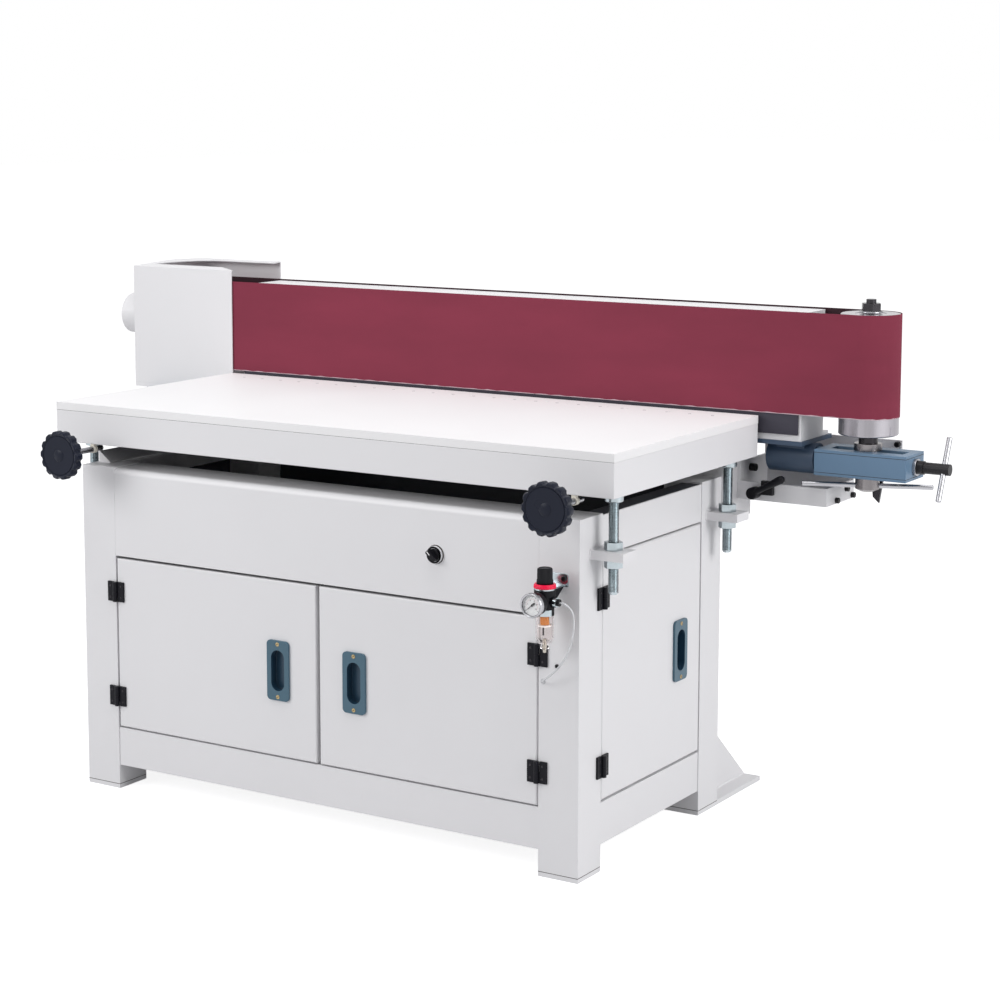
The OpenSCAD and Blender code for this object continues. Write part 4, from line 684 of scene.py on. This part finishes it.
def thread(radius, root, bottom, top):
    count = int((top - bottom) / PITCH * ROUND)
    verts = []
    for i in range(count):
        angle = 2 * math.pi * i / ROUND
        height = bottom + PITCH * i / ROUND
        for reach, rise in ((radius, 0), (root, PITCH / 2)):
            verts.append((reach * math.cos(angle), reach * math.sin(angle), height + rise))
    faces = [(2 * i, 2 * i + 2, 2 * i + 3, 2 * i + 1) for i in range(count - 1)]
    turn = 2 * ROUND
    faces += [(2 * i + 1, 2 * i + 3, 2 * i + turn + 2, 2 * i + turn) for i in range(count - ROUND - 1)]
    return verts, faces


screw_low = low("lift_screws")
screw_high = high("lift_screws")
tip_z = screw_low.z + TIP_HIGH
collar_z = screw_high.z - COLLAR_HIGH
rod_places = [(screw_low.x + COLLAR_R, LEFT_FRONT_Y, 0),
              (screw_low.x + COLLAR_R, screw_high.y - COLLAR_R, 0),
              (screw_high.x - COLLAR_R, screw_low.y + COLLAR_R, 0),
              (screw_high.x - COLLAR_R, screw_high.y - COLLAR_R, 0)]
core = [(TIP_R, screw_low.z), (CORE_R, tip_z), (CORE_R, collar_z + 1)]
collar = [(ROD_R, collar_z), (COLLAR_R - COLLAR_EDGE, collar_z), (COLLAR_R, collar_z + COLLAR_EDGE),
          (COLLAR_R, screw_high.z)]
rods = []
for place in rod_places:
    rods.append(lay(thread(ROD_R, ROOT_R, tip_z, collar_z), place))
    rods.append(spun(core, ROUND, place))
    rods.append(spun(collar, 40, place))
piece("threaded_screws", rods, "zinc", "table", ["lift_screws"])

# %% [markdown]
# Pressure gauge: a rolled bright rim, a printed scale, a needle with a broad tail, and a lens. The
# scale is generic. Depths count from the front of the gauge's case.

# %% Gauge face
SCALE_START = -130.0
SCALE_SWEEP = 260.0
SCALE_TOP = 10
MARK_DEEP = 4.8
MARK_THICK = 0.3
NUMBER_DEEP = 4.85
NUMBER_REACH = 9.6
NUMBER_SIZE = 0.0038
NUMBER_THICK = 0.00005
NEEDLE_DEEP = 3.4
NEEDLE_THICK = 0.5
gauge = middle("gauge_case")
gauge_r = (high("gauge_case").x - low("gauge_case").x) / 2
gauge_place = (gauge.x, gauge_front, gauge.z)
rim = [(gauge_r - 3.4, 4.5), (gauge_r - 3.2, -0.2), (gauge_r - 2.2, -1.2), (gauge_r - 0.8, -1.0),
       (gauge_r + 0.3, 0.6), (gauge_r + 0.3, 8.6), (gauge_r - 1, 8.8), (gauge_r - 1.2, 4.5)]
piece("gauge_rim", [spun(rim, 64, gauge_place, BACK, closed=True)], "bright_steel", "frame")


def scale_marks(count, inner, outer, width):
    marks = []
    face_y = gauge_front + MARK_DEEP
    for i in range(count + 1):
        angle = math.radians(SCALE_START + SCALE_SWEEP * i / count)
        along = Vector((math.sin(angle), 0, math.cos(angle)))
        aside = Vector((math.cos(angle), 0, -math.sin(angle)))
        sides = ((inner, -width), (inner, width), (outer, width), (outer, -width))
        corners = [along * reach + aside * half for reach, half in sides]
        verts = [Vector((gauge.x + c.x, y, gauge.z + c.z))
                 for y in (face_y, face_y + MARK_THICK) for c in corners]
        marks.append((verts, [(0, 1, 2, 3), (4, 7, 6, 5), (0, 4, 5, 1), (1, 5, 6, 2), (2, 6, 7, 3),
                              (3, 7, 4, 0)]))
    return marks


fine_marks = scale_marks(count=50, inner=15.8, outer=17.6, width=0.12)
main_marks = scale_marks(count=SCALE_TOP, inner=14.4, outer=17.6, width=0.25)
red_marks = scale_marks(count=28, inner=11.2, outer=12.4, width=0.14)
piece("scale_black", fine_marks + main_marks, "needle_black", "frame")
piece("scale_red", red_marks, "dial_red", "frame")
for i in range(0, SCALE_TOP + 1, 2):
    angle = math.radians(SCALE_START + SCALE_SWEEP * i / SCALE_TOP)
    digits = bpy.data.curves.new("scale_number_%d" % i, "FONT")
    digits.body = str(i)
    digits.size = NUMBER_SIZE
    digits.extrude = NUMBER_THICK
    digits.align_x = "CENTER"
    digits.align_y = "CENTER"
    digits.materials.append(finishes["needle_black"])
    number = bpy.data.objects.new("scale_number_%d" % i, digits)
    number.location = at(gauge.x + NUMBER_REACH * math.sin(angle), gauge_front + NUMBER_DEEP,
                         gauge.z + NUMBER_REACH * math.cos(angle))
    number.rotation_euler = (math.pi / 2, 0, 0)
    scene.collection.objects.link(number)
    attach(number, "frame")
pointer = [(-0.8, 0.0), (-1.9, -3.0), (-1.5, -7.5), (1.5, -7.5), (1.9, -3.0), (0.8, 0.0),
           (0.25, 15.0), (-0.25, 15.0)]
lean = math.radians(SCALE_START)
leaning = [(x * math.cos(lean) + z * math.sin(lean), -x * math.sin(lean) + z * math.cos(lean))
           for x, z in pointer]
blade = prism([(x, -z) for x, z in leaning], 0, NEEDLE_THICK)
hub = [(0.05, -0.6), (1.6, -0.5), (2.3, 0.1), (2.3, 1.0), (1.4, 1.0), (1.4, 7.0)]
needle_place = (gauge.x, gauge_front + NEEDLE_DEEP, gauge.z)
piece("gauge_pointer", [lay(blade, needle_place, BACK), spun(hub, 28, needle_place, BACK)],
      "needle_black", "needle", ["gauge_needle"])
pane = [(0.05, 0.4), (8, 0.7), (14, 1.3), (gauge_r - 3.3, 2.2), (gauge_r - 3.3, 2.7), (14, 1.8),
        (8, 1.2), (0.05, 0.9)]
piece("gauge_lens", [spun(pane, 48, gauge_place, BACK)], "lens_clear", "frame")

# %% [markdown]
# The regulator knob has fine ribs, and the red lock ring under it a coarse knurl. Below them are
# the bowl's catch, the drain with its clear cap, and a clear grommet where the tube enters the leg.

# %% Regulator
RIBS = 40
RIB_DEEP = 0.5
RIB_BEYOND = 13
KNURLS = 32
KNURL_DEEP = 0.35
KNURL_BEYOND = 18
FLUTE_STEPS = 6
CATCH_GAP = 0.8
CATCH_THICK = 2.2
CATCH_LOW = 0.3
CATCH_HIGH = 12


def fluted(count, depth, beyond):
    def wave(angle, radius):
        return radius - (depth * (1 + math.cos(count * angle)) / 2 if radius > beyond else 0)

    return wave


knob_mid = middle("air_knob")
ring_mid = middle("air_ring")
ring_z = low("air_ring").z
grip = [(7.5, 0), (7.9, 5), (15.0, 5.4), (15.3, 6.2), (15.3, 11.5), (14.3, 13.5), (14.2, 31.5),
        (13.2, 33.4), (11.5, 34.3), (10.8, 34.5), (9.8, 33.6), (0.05, 33.6)]
piece("regulator_grip", [spun(grip, RIBS * FLUTE_STEPS, (knob_mid.x, knob_mid.y, low("air_knob").z),
                              wave=fluted(RIBS, RIB_DEEP, RIB_BEYOND))],
      "black_plastic", "regulator", ["air_knob"])
ring = [(15.8, 0), (20.2, 0), (20.8, 0.8), (20.3, 6.2), (19.3, 8), (15.8, 8)]
piece("lock_ring", [spun(ring, KNURLS * FLUTE_STEPS, (ring_mid.x, ring_mid.y, ring_z),
                         wave=fluted(KNURLS, KNURL_DEEP, KNURL_BEYOND), closed=True)],
      "red_plastic", "frame", ["air_ring"])
catch_r = (high("air_bowl").x - low("air_bowl").x) / 2 + CATCH_GAP
catch_turns = [math.radians(-88 + 10 * i) for i in range(8)]
catch_sides = ((catch_r + CATCH_THICK, catch_turns), (catch_r, catch_turns[::-1]))
catch_rim = [(reach * math.cos(a), reach * math.sin(a)) for reach, turns in catch_sides for a in turns]
piece("bowl_catch", [lay(prism(catch_rim, CATCH_LOW, CATCH_HIGH),
                         (ring_mid.x, ring_mid.y, low("air_body").z))], "zinc", "frame", edge=0.6)
drain_high = high("air_drain").z - low("air_drain").z
drain_mid = middle("air_drain")
drain_place = (drain_mid.x, drain_mid.y, low("air_drain").z)
nipple = [(0.05, 0), (1.6, 0), (2.6, 0.6), (3.3, 2), (3.3, 6), (2.7, 6.6), (2.7, 8), (3.8, 9),
          (3.8, drain_high)]
piece("drain_nipple", [spun(nipple, 28, drain_place)], "drain_brass", "drain", ["air_drain"])
cap = [(3.7, 7.6), (6.5, 7.6), (7.6, 8.4), (8, 9.6), (8, 12.6), (7.2, 13.9), (3.7, 14)]
piece("drain_cap", [spun(cap, 40, drain_place, closed=True)], "bowl_clear", "drain")
grommet = [(2.1, -0.9), (4.6, -0.9), (5.4, -0.4), (5.4, 0), (4.3, 0), (4.3, 3), (2.1, 3)]
piece("tube_grommet", [spun(grommet, 32, leg_hole, BACK, closed=True)], "hose_clear", "frame")

# %% [markdown]
# The selector's handle has a white index line. A silver ring surrounds it, and a thin dark ring round
# that is painted shade at the ring's outer edge.

# %% Selector
LINE_HALF = 0.9
LINE_FROM = 2.0
LINE_TO = 11.0
LINE_THICK = 0.5
LINE_SUNK = 0.1
LINE_TURN = 45
switch = middle("selector_bezel")
switch_place = (switch.x, 0, switch.z)
line_place = (switch.x, low("selector_handle").y + LINE_SUNK, switch.z)
line = slab(-LINE_HALF, LINE_HALF, LINE_FROM, LINE_TO, 0, LINE_THICK)
piece("selector_line", [lay(line, line_place, FRONT, turn=LINE_TURN)], "dial_white", "selector")
bezel = [(10.2, 0), (16.2, 0), (17.2, 2.5), (17.2, 6.5), (16.5, 7), (13, 7), (12.4, 6), (10.2, 6)]
piece("selector_ring", [spun(bezel, 56, switch_place, FRONT, closed=True)], "silver_ring", "frame")
# Painted shade: a thin dark ring for the shadow at the bezel's outer edge.
edge_shade_ring = [(15.5, -0.4), (18.4, -0.4), (18.4, 0.9), (17.9, 1.3), (15.5, 1.3)]
piece("selector_edge_shade", [spun(edge_shade_ring, 56, switch_place, FRONT, closed=True)], "joint_and_shade_dark", "frame")

# %% [markdown]
# Screws hold every hinge leaf and pull. A hinge screw is a low dome with a dimple. The pulls'
# screws are solids already, so they only get a slot: a dark bar, painted shade for the slot's hollow.

# %% Small screws
def dome_screw(radius, rise):
    head = [(radius, 0), (radius, rise * 0.35), (radius * 0.8, rise * 0.8), (radius * 0.35, rise)]
    return lathe(head + [(radius * 0.3, rise * 0.5), (0.05, rise * 0.4)], 20)


LEAF_FACE = 4.0
LEAF_MIDDLE = 21
SCREW_IN = 7.0
SCREW_STEP = 12.0
SCREW_R = 2.4
SCREW_HIGH = 1.2
PULL_SCREW_IN = 7.5
SLOT_HALF = 3
SLOT_WIDE = 0.5
SLOT_DEEP = 0.5
SLOT_THICK = 0.6
SLOT_TURN = 30
hinge_screw = dome_screw(SCREW_R, SCREW_HIGH)
# Painted shade: a dark bar laid on a screw head for the shade in its slot.
screw_slot_shade = slab(-SLOT_HALF, SLOT_HALF, -SLOT_WIDE, SLOT_WIDE, 0, SLOT_THICK)
side_face = high("legs").x + LEAF_FACE
frame_places = []
for body, facing in (("door_left", FRONT), ("door_right", FRONT), ("door_side", RIGHT)):
    side = body.removeprefix("door_")
    leaf_low = low("hinge_leaves_" + side)
    leaf_high = high("hinge_leaves_" + side)
    leaf_middles = (leaf_low.z + LEAF_MIDDLE, leaf_high.z - LEAF_MIDDLE)
    heights = [z + step for z in leaf_middles for step in (-SCREW_STEP, SCREW_STEP)]
    spots = []
    for z in heights:
        if side == "left":
            spots.append((leaf_high.x - SCREW_IN, -LEAF_FACE, z))
            frame_spot = (low("hinge_frame_leaves").x + SCREW_IN, -LEAF_FACE, z)
        elif side == "right":
            spots.append((leaf_low.x + SCREW_IN, -LEAF_FACE, z))
            frame_spot = (leaf_high.x + SCREW_IN, -LEAF_FACE, z)
        else:
            spots.append((side_face, leaf_high.y - SCREW_IN, z))
            frame_spot = (side_face, leaf_low.y - SCREW_IN, z)
        frame_places.append((frame_spot, facing))
    piece("hinge_screws_" + side, [lay(hinge_screw, spot, facing) for spot in spots], "dark_steel",
          body)
    pull = "pull_" + side
    shade_marks = []
    for z in (low(pull).z + PULL_SCREW_IN, high(pull).z - PULL_SCREW_IN):
        if facing == FRONT:
            spot = (middle(pull).x, low(pull).y + SLOT_DEEP, z)
        else:
            spot = (high(pull).x - SLOT_DEEP, middle(pull).y, z)
        shade_marks.append(lay(screw_slot_shade, spot, facing, turn=SLOT_TURN))
    piece("pull_slot_shade_" + side, shade_marks, "joint_and_shade_dark", body)
frame_heads = [lay(hinge_screw, spot, facing) for spot, facing in frame_places]
piece("hinge_screws_frame", frame_heads, "dark_steel", "frame")

# %% [markdown]
# Dark lines tell that the machine is made of plates: the joint under the table top, the covers of
# the tension box and the foot plates of the legs. Each is a thin band round the solid. The table's
# band lies just inside the softened edge, and the others stand out by less than a tenth of a
# millimetre. A row of small screws runs along the table's rear edge.

# %% Joint lines and table screws
BAND_DEEP = 4
TABLE_BAND_OUT = -0.5
LEG_BAND_OUT = 0.08
BOX_BAND_OUT = 0.06
LEG_SIDE = 86.0
FOOT_PLATE = 9.5
BOX_LONG = 194
BOX_COVER = 6
TOP_SCREWS = 24
TOP_SCREW_MARGIN = 76
TOP_SCREW_IN = 52


def band(x0, x1, y0, y1, z, half, out):
    verts = []
    for height in (z - half, z + half):
        for grow in (out, out - BAND_DEEP):
            verts += [(x0 - grow, y0 - grow, height), (x1 + grow, y0 - grow, height),
                      (x1 + grow, y1 + grow, height), (x0 - grow, y1 + grow, height)]
    faces = []
    for k in range(4):
        n = (k + 1) % 4
        faces += [(k, n, 8 + n, 8 + k), (4 + k, 12 + k, 12 + n, 4 + n)]
        faces += [(k, 4 + k, 4 + n, n), (8 + k, 8 + n, 12 + n, 12 + k)]
    return verts, faces


top_low = low("table_top")
top_high = high("table_top")
table_band = band(top_low.x, top_high.x, top_low.y, top_high.y, top_low.z, 0.9, TABLE_BAND_OUT)
piece("table_joint", [table_band], "joint_and_shade_dark", "table")
screw_head = [(0.05, -0.3), (1.3, -0.3), (1.7, 0.1), (3.3, 0.1), (3.6, -0.2)]
screw_run = top_high.x - top_low.x - 2 * TOP_SCREW_MARGIN
top_screws = []
for k in range(TOP_SCREWS):
    screw_x = top_low.x + TOP_SCREW_MARGIN + screw_run * k / (TOP_SCREWS - 1)
    top_screws.append(spun(screw_head, 20, (screw_x, top_high.y - TOP_SCREW_IN, top_high.z)))
piece("table_screws", top_screws, "electric_grey", "table")
legs_low = low("legs")
legs_high = high("legs")
foot_bands = [band(x, x + LEG_SIDE, y, y + LEG_SIDE, FOOT_PLATE, 0.6, LEG_BAND_OUT)
              for x in (legs_low.x, legs_high.x - LEG_SIDE)
              for y in (legs_low.y, legs_high.y - LEG_SIDE)]
piece("leg_foot_lines", foot_bands, "joint_and_shade_dark", "frame")
box_low = low("tension_box")
box_high = high("tension_box")
cover_bands = [band(box_high.x - BOX_LONG, box_high.x, box_low.y, box_high.y, z, 0.5, BOX_BAND_OUT)
               for z in (box_low.z + BOX_COVER, box_high.z - BOX_COVER)]
piece("box_cover_lines", cover_bands, "joint_and_shade_dark", "frame")

# %% [markdown]
# A sanding belt is slit from a roll, so its lower edge shows a pale line of bare cloth. The line is
# a thin band round the belt, and its upper border wanders a little.

# %% Hem of the belt
HEM_OUT = 0.2
HEM_HIGH = 1.5
HEM_UNDER = 0.1
HEM_STEP = 12.0
HEM_BENDS = 24


def belt_outline(out):
    reach = belt_half + out
    run = belt_right - belt_left
    parts = int(run / HEM_STEP)
    along = [belt_left + run * i / parts for i in range(parts + 1)]
    bend = [math.pi * (i + 1) / HEM_BENDS for i in range(HEM_BENDS - 1)]
    front = [(x, belt_axis_y - reach) for x in along]
    right = [(belt_right + reach * math.sin(a), belt_axis_y - reach * math.cos(a)) for a in bend]
    back = [(x, belt_axis_y + reach) for x in reversed(along)]
    left = [(belt_left - reach * math.sin(a), belt_axis_y + reach * math.cos(a)) for a in bend]
    return front + right + back + left


outer = belt_outline(HEM_OUT)
inner = belt_outline(-HEM_OUT)
hem_low = low("sanding_belt").z - HEM_UNDER
count = len(outer)
tops = [hem_low + HEM_HIGH * (1 + 0.35 * math.sin(k * 1.7) + 0.25 * math.sin(k * 4.1))
        for k in range(count)]
verts = [(x, y, hem_low) for x, y in outer] + [(x, y, top) for (x, y), top in zip(outer, tops)]
verts += [(x, y, top) for (x, y), top in zip(inner, tops)] + [(x, y, hem_low) for x, y in inner]
faces = []
for k in range(count):
    n = (k + 1) % count
    for loop in range(4):
        here = loop * count
        over = (loop + 1) % 4 * count
        faces.append((here + k, here + n, over + n, over + k))
piece("belt_hem", [(verts, faces)], "hem_pale", "frame")

# %% [markdown]
# Socket screws on the end bracket, the air bracket and the leg: a turned head with a six-sided
# socket, drawn as a darker hexagon on the head, painted shade for the hollow. A small stop block
# goes with them, because the solid that they stand for holds it too.

# %% Socket screws
def socket_screw(radius, rise):
    bore = radius * 0.55
    wall = lathe([(radius, 0), (radius, rise * 0.85), (radius * 0.92, rise), (bore, rise)], 32)
    sixths = [math.radians(60 * k) for k in range(6)]
    sides = [(bore * math.cos(a), bore * math.sin(a)) for a in sixths]
    # Painted shade: a darker hexagon standing for the shade in the socket.
    shade_hex = prism(sides, rise * 0.45, rise * 1.02)
    return wall, shade_hex


TRAY_END = 1404.0
TRAY_FLOOR = 7.5
STOP_LEFT = 1264
STOP_RIGHT = 1290
LEG_SCREW_X = 1154
tray_low = low("end_bracket")
tray_high = high("end_bracket")
# Each row is a place, a direction, a radius and a height
socket_places = [((TRAY_END, tray_low.y + 46, tray_low.z + TRAY_FLOOR), RIGHT, 6, 8),
                 ((TRAY_END, tray_low.y + 126, tray_low.z + TRAY_FLOOR), RIGHT, 6, 8),
                 ((TRAY_END, tray_low.y + 95, tray_low.z + 25), RIGHT, 6, 8),
                 ((tray_low.x + 6, tray_low.y + 50, 694), RIGHT, 8, 14),
                 ((tray_high.x - 8, tray_high.y - 6, tray_high.z - 8), FRONT, 6, 9),
                 ((ring_mid.x + 16, -2.5, ring_z + 11), FRONT, 5, 4),
                 ((LEG_SCREW_X, 0, ring_z - 156), FRONT, 4, 3)]
heads = []
shade_hexes = []
for place, axis, radius, rise in socket_places:
    wall, shade_hex = socket_screw(radius, rise)
    heads.append(lay(wall, place, axis))
    shade_hexes.append(lay(shade_hex, place, axis))
stop_block = slab(STOP_LEFT, STOP_RIGHT, tray_low.y - 10, tray_low.y, tray_low.z + 14,
                  tray_low.z + 43)
piece("socket_heads", heads + [stop_block], "bolt_black", "frame", ["black_bolts"], edge=0.5)
piece("socket_painted_shade", shade_hexes, "needle_black", "frame")

# %% [markdown]
# The clamp lever is cast: a hub, and an arm that swells toward a rounded end.

# %% Clamp lever
LEVER_X = 1250
LEVER_Z = 652
ARM_IN = 6
ARM_LEAN = math.radians(62)
lever = Vector((LEVER_X, low("clamp_lever").y, LEVER_Z))
hub = [(5.9, 44), (6, 27), (12, 26), (12.4, 22), (12.4, 4), (11, 1.5), (7, 0), (0.05, 0)]
arm = [(5.5, 4), (6.5, 14), (6.2, 30), (7.2, 50), (8.4, 66), (8.2, 72), (6.4, 77.5), (3.2, 80),
       (0.05, 80.3)]
arm_axis = Vector((math.sin(ARM_LEAN), 0, math.cos(ARM_LEAN)))
piece("cast_lever", [spun(hub, 36, lever, BACK), spun(arm, 28, lever + ARM_IN * BACK, arm_axis)],
      "black_plastic", "clamp", ["clamp_lever"])

# %% [markdown]
# The tee bar and the lock bar are turned rods with rounded ends, drawn finer than the solids so
# that they mirror the room evenly. Each end is the middle of the solid's points near it.

# %% Turned bars
END_REACH = 20
FAR_REACH = 40


def rod(length, radius):
    ends = [(radius * math.sin(a), radius * 0.45 * (1 - math.cos(a)))
            for a in (0.02, 0.5, 0.9, 1.25, 1.5708)]
    ends += [(radius, radius * 0.5), (radius, radius)]
    return lathe(ends + [(r, length - h) for r, h in reversed(ends)], 40)


def bar_ends(node):
    points = [drawing(v.co) for v in nodes[node].data.vertices]
    first = max(points, key=lambda spot: (spot - middle(node)).length)
    near = [spot for spot in points if (spot - first).length < END_REACH]
    far = [spot for spot in points if (spot - first).length > FAR_REACH]
    start = sum(near, Vector()) / len(near)
    end = sum(far, Vector()) / len(far)
    reaches = [(spot - start).length for spot in points]
    radius = max(reach for reach in reaches if reach < END_REACH)
    return start, end, radius


for name, node, body in (("turned_tee", "tee_bar", "tee"), ("turned_lock_bar", "lock_handle", "lock")):
    start, end, radius = bar_ends(node)
    along = end - start
    piece(name, [lay(rod(along.length, radius), start, along.normalized())], "bright_steel", body,
          [node])

# %% [markdown]
# Welds: a bead is a small tube whose radius ripples along its run, half sunk in the corner that it
# fills. Beads hold the lifting brackets and the gussets of the rear feet.

# %% Weld beads
BEAD_R = 2.4
BEAD_STEP = 2.2
BRACKET_HALF = 26.5
LEFT_BRACKET_HALF = 16
RIGHT_FRONT_Y = 64.5
REAR_Y = 538
GUSSET_HALF = 5
GUSSET_LOW = 12
GUSSET_HIGH = 186
FOOT_TOP = 10
FOOT_NEAR = 4
FOOT_FAR = 200


def bead(start, end):
    start = Vector(start)
    run = Vector(end) - start
    rings = max(8, int(run.length / BEAD_STEP))
    profile = [(BEAD_R * (0.82 + 0.22 * abs(math.sin(i * 1.3))), run.length * i / rings)
               for i in range(rings + 1)]
    return spun(profile, 10, start, run.normalized())


beads = []
bracket_low = low("lift_brackets").z
bracket_high = high("lift_brackets").z
leg_right = legs_high.x
leg_back = legs_high.y
for y in (RIGHT_FRONT_Y, REAR_Y):
    front_y = y - BRACKET_HALF
    back_y = min(y + BRACKET_HALF, leg_back)
    beads.append(bead((leg_right, front_y, bracket_high), (leg_right, back_y, bracket_high)))
    beads.append(bead((leg_right, front_y, bracket_low), (leg_right, back_y, bracket_low)))
    beads.append(bead((leg_right, front_y, bracket_low), (leg_right, front_y, bracket_high)))
for y in (LEFT_FRONT_Y, REAR_Y):
    front_y = y - LEFT_BRACKET_HALF
    beads.append(bead((0, front_y, bracket_high), (0, y + LEFT_BRACKET_HALF, bracket_high)))
    beads.append(bead((0, front_y, bracket_low), (0, front_y, bracket_high)))
for x in (LEG_SIDE / 2, leg_right - LEG_SIDE / 2):
    for step in (-GUSSET_HALF, GUSSET_HALF):
        side_x = x + step
        beads.append(bead((side_x, leg_back, GUSSET_LOW), (side_x, leg_back, GUSSET_HIGH)))
        beads.append(bead((side_x, leg_back + FOOT_NEAR, FOOT_TOP),
                          (side_x, leg_back + FOOT_FAR, FOOT_TOP)))
piece("weld_beads", beads, "white_paint", "frame")

# %% [markdown]
# The motor hangs under the drive end. Its fan cowl has round holes below and slots round its side,
# drawn as dark discs and bars painted as the shade inside them, and its terminal box a lid with
# screws and a cable gland.

# %% Motor details
HOLE_RINGS = 4
HOLE_STEP = 18.0
HOLES_PER_RING = 6
HOLE = [(3.6, -0.4), (3.6, 0.3)]
VENTS = 36
VENT_REACH = 98
VENT_Z = 34
VENT_LONG = 14
VENT_WIDE = 2.2
VENT_THICK = 0.3
LID_Z = 646.0
LID_HALF_X = 52
LID_HALF_Z = 47
LID_THICK = 3
LID_SUNK = 0.5
LID_SCREW_IN = 7
LID_SCREW_R = 3.2
LID_SCREW_HIGH = 1.8
motor_low = low("motor").z
box_back = high("motor").y
drive = Vector((middle("drive_drum").x, middle("drive_drum").y, 0))
# Painted shade: the cowl's holes and vents are dark discs and bars, not openings.
shade_marks = []
for ring in range(1, HOLE_RINGS + 1):
    reach = HOLE_STEP * ring
    holes = HOLES_PER_RING * ring
    for k in range(holes):
        angle = 2 * math.pi * k / holes
        hole_x = drive.x + reach * math.cos(angle)
        hole_y = drive.y + reach * math.sin(angle)
        shade_marks.append(spun(HOLE, 12, (hole_x, hole_y, motor_low)))
vent = slab(-VENT_LONG, VENT_LONG, -VENT_WIDE, VENT_WIDE, -VENT_THICK, VENT_THICK)
for k in range(VENTS):
    angle = 2 * math.pi * k / VENTS
    out = Vector((math.cos(angle), math.sin(angle), 0))
    shade_marks.append(lay(vent, drive + out * VENT_REACH + (motor_low + VENT_Z) * UP, out))
piece("cowl_openings_shade", shade_marks, "joint_and_shade_dark", "frame")
lid = lay(slab(-LID_HALF_X, LID_HALF_X, -LID_HALF_Z, LID_HALF_Z, 0, LID_THICK),
          (drive.x, box_back - LID_SUNK, LID_Z), BACK)
lid_screw = dome_screw(LID_SCREW_R, LID_SCREW_HIGH)
lid_screws = [lay(lid_screw, (drive.x + aside, box_back + 2.4, LID_Z + rise), BACK)
              for aside in (LID_SCREW_IN - LID_HALF_X, LID_HALF_X - LID_SCREW_IN)
              for rise in (LID_SCREW_IN - LID_HALF_Z, LID_HALF_Z - LID_SCREW_IN)]
piece("terminal_lid", [lid] + lid_screws, "motor_grey", "frame", edge=0.8)
gland = [(0.05, 0), (11, 0), (11, 9), (9, 10), (9, 16), (7.5, 19), (5.5, 19.5), (0.05, 19.5)]
piece("cable_gland", [spun(gland, 24, (drive.x + 55, box_back - 24, LID_Z - 20), RIGHT)],
      "black_plastic", "frame")
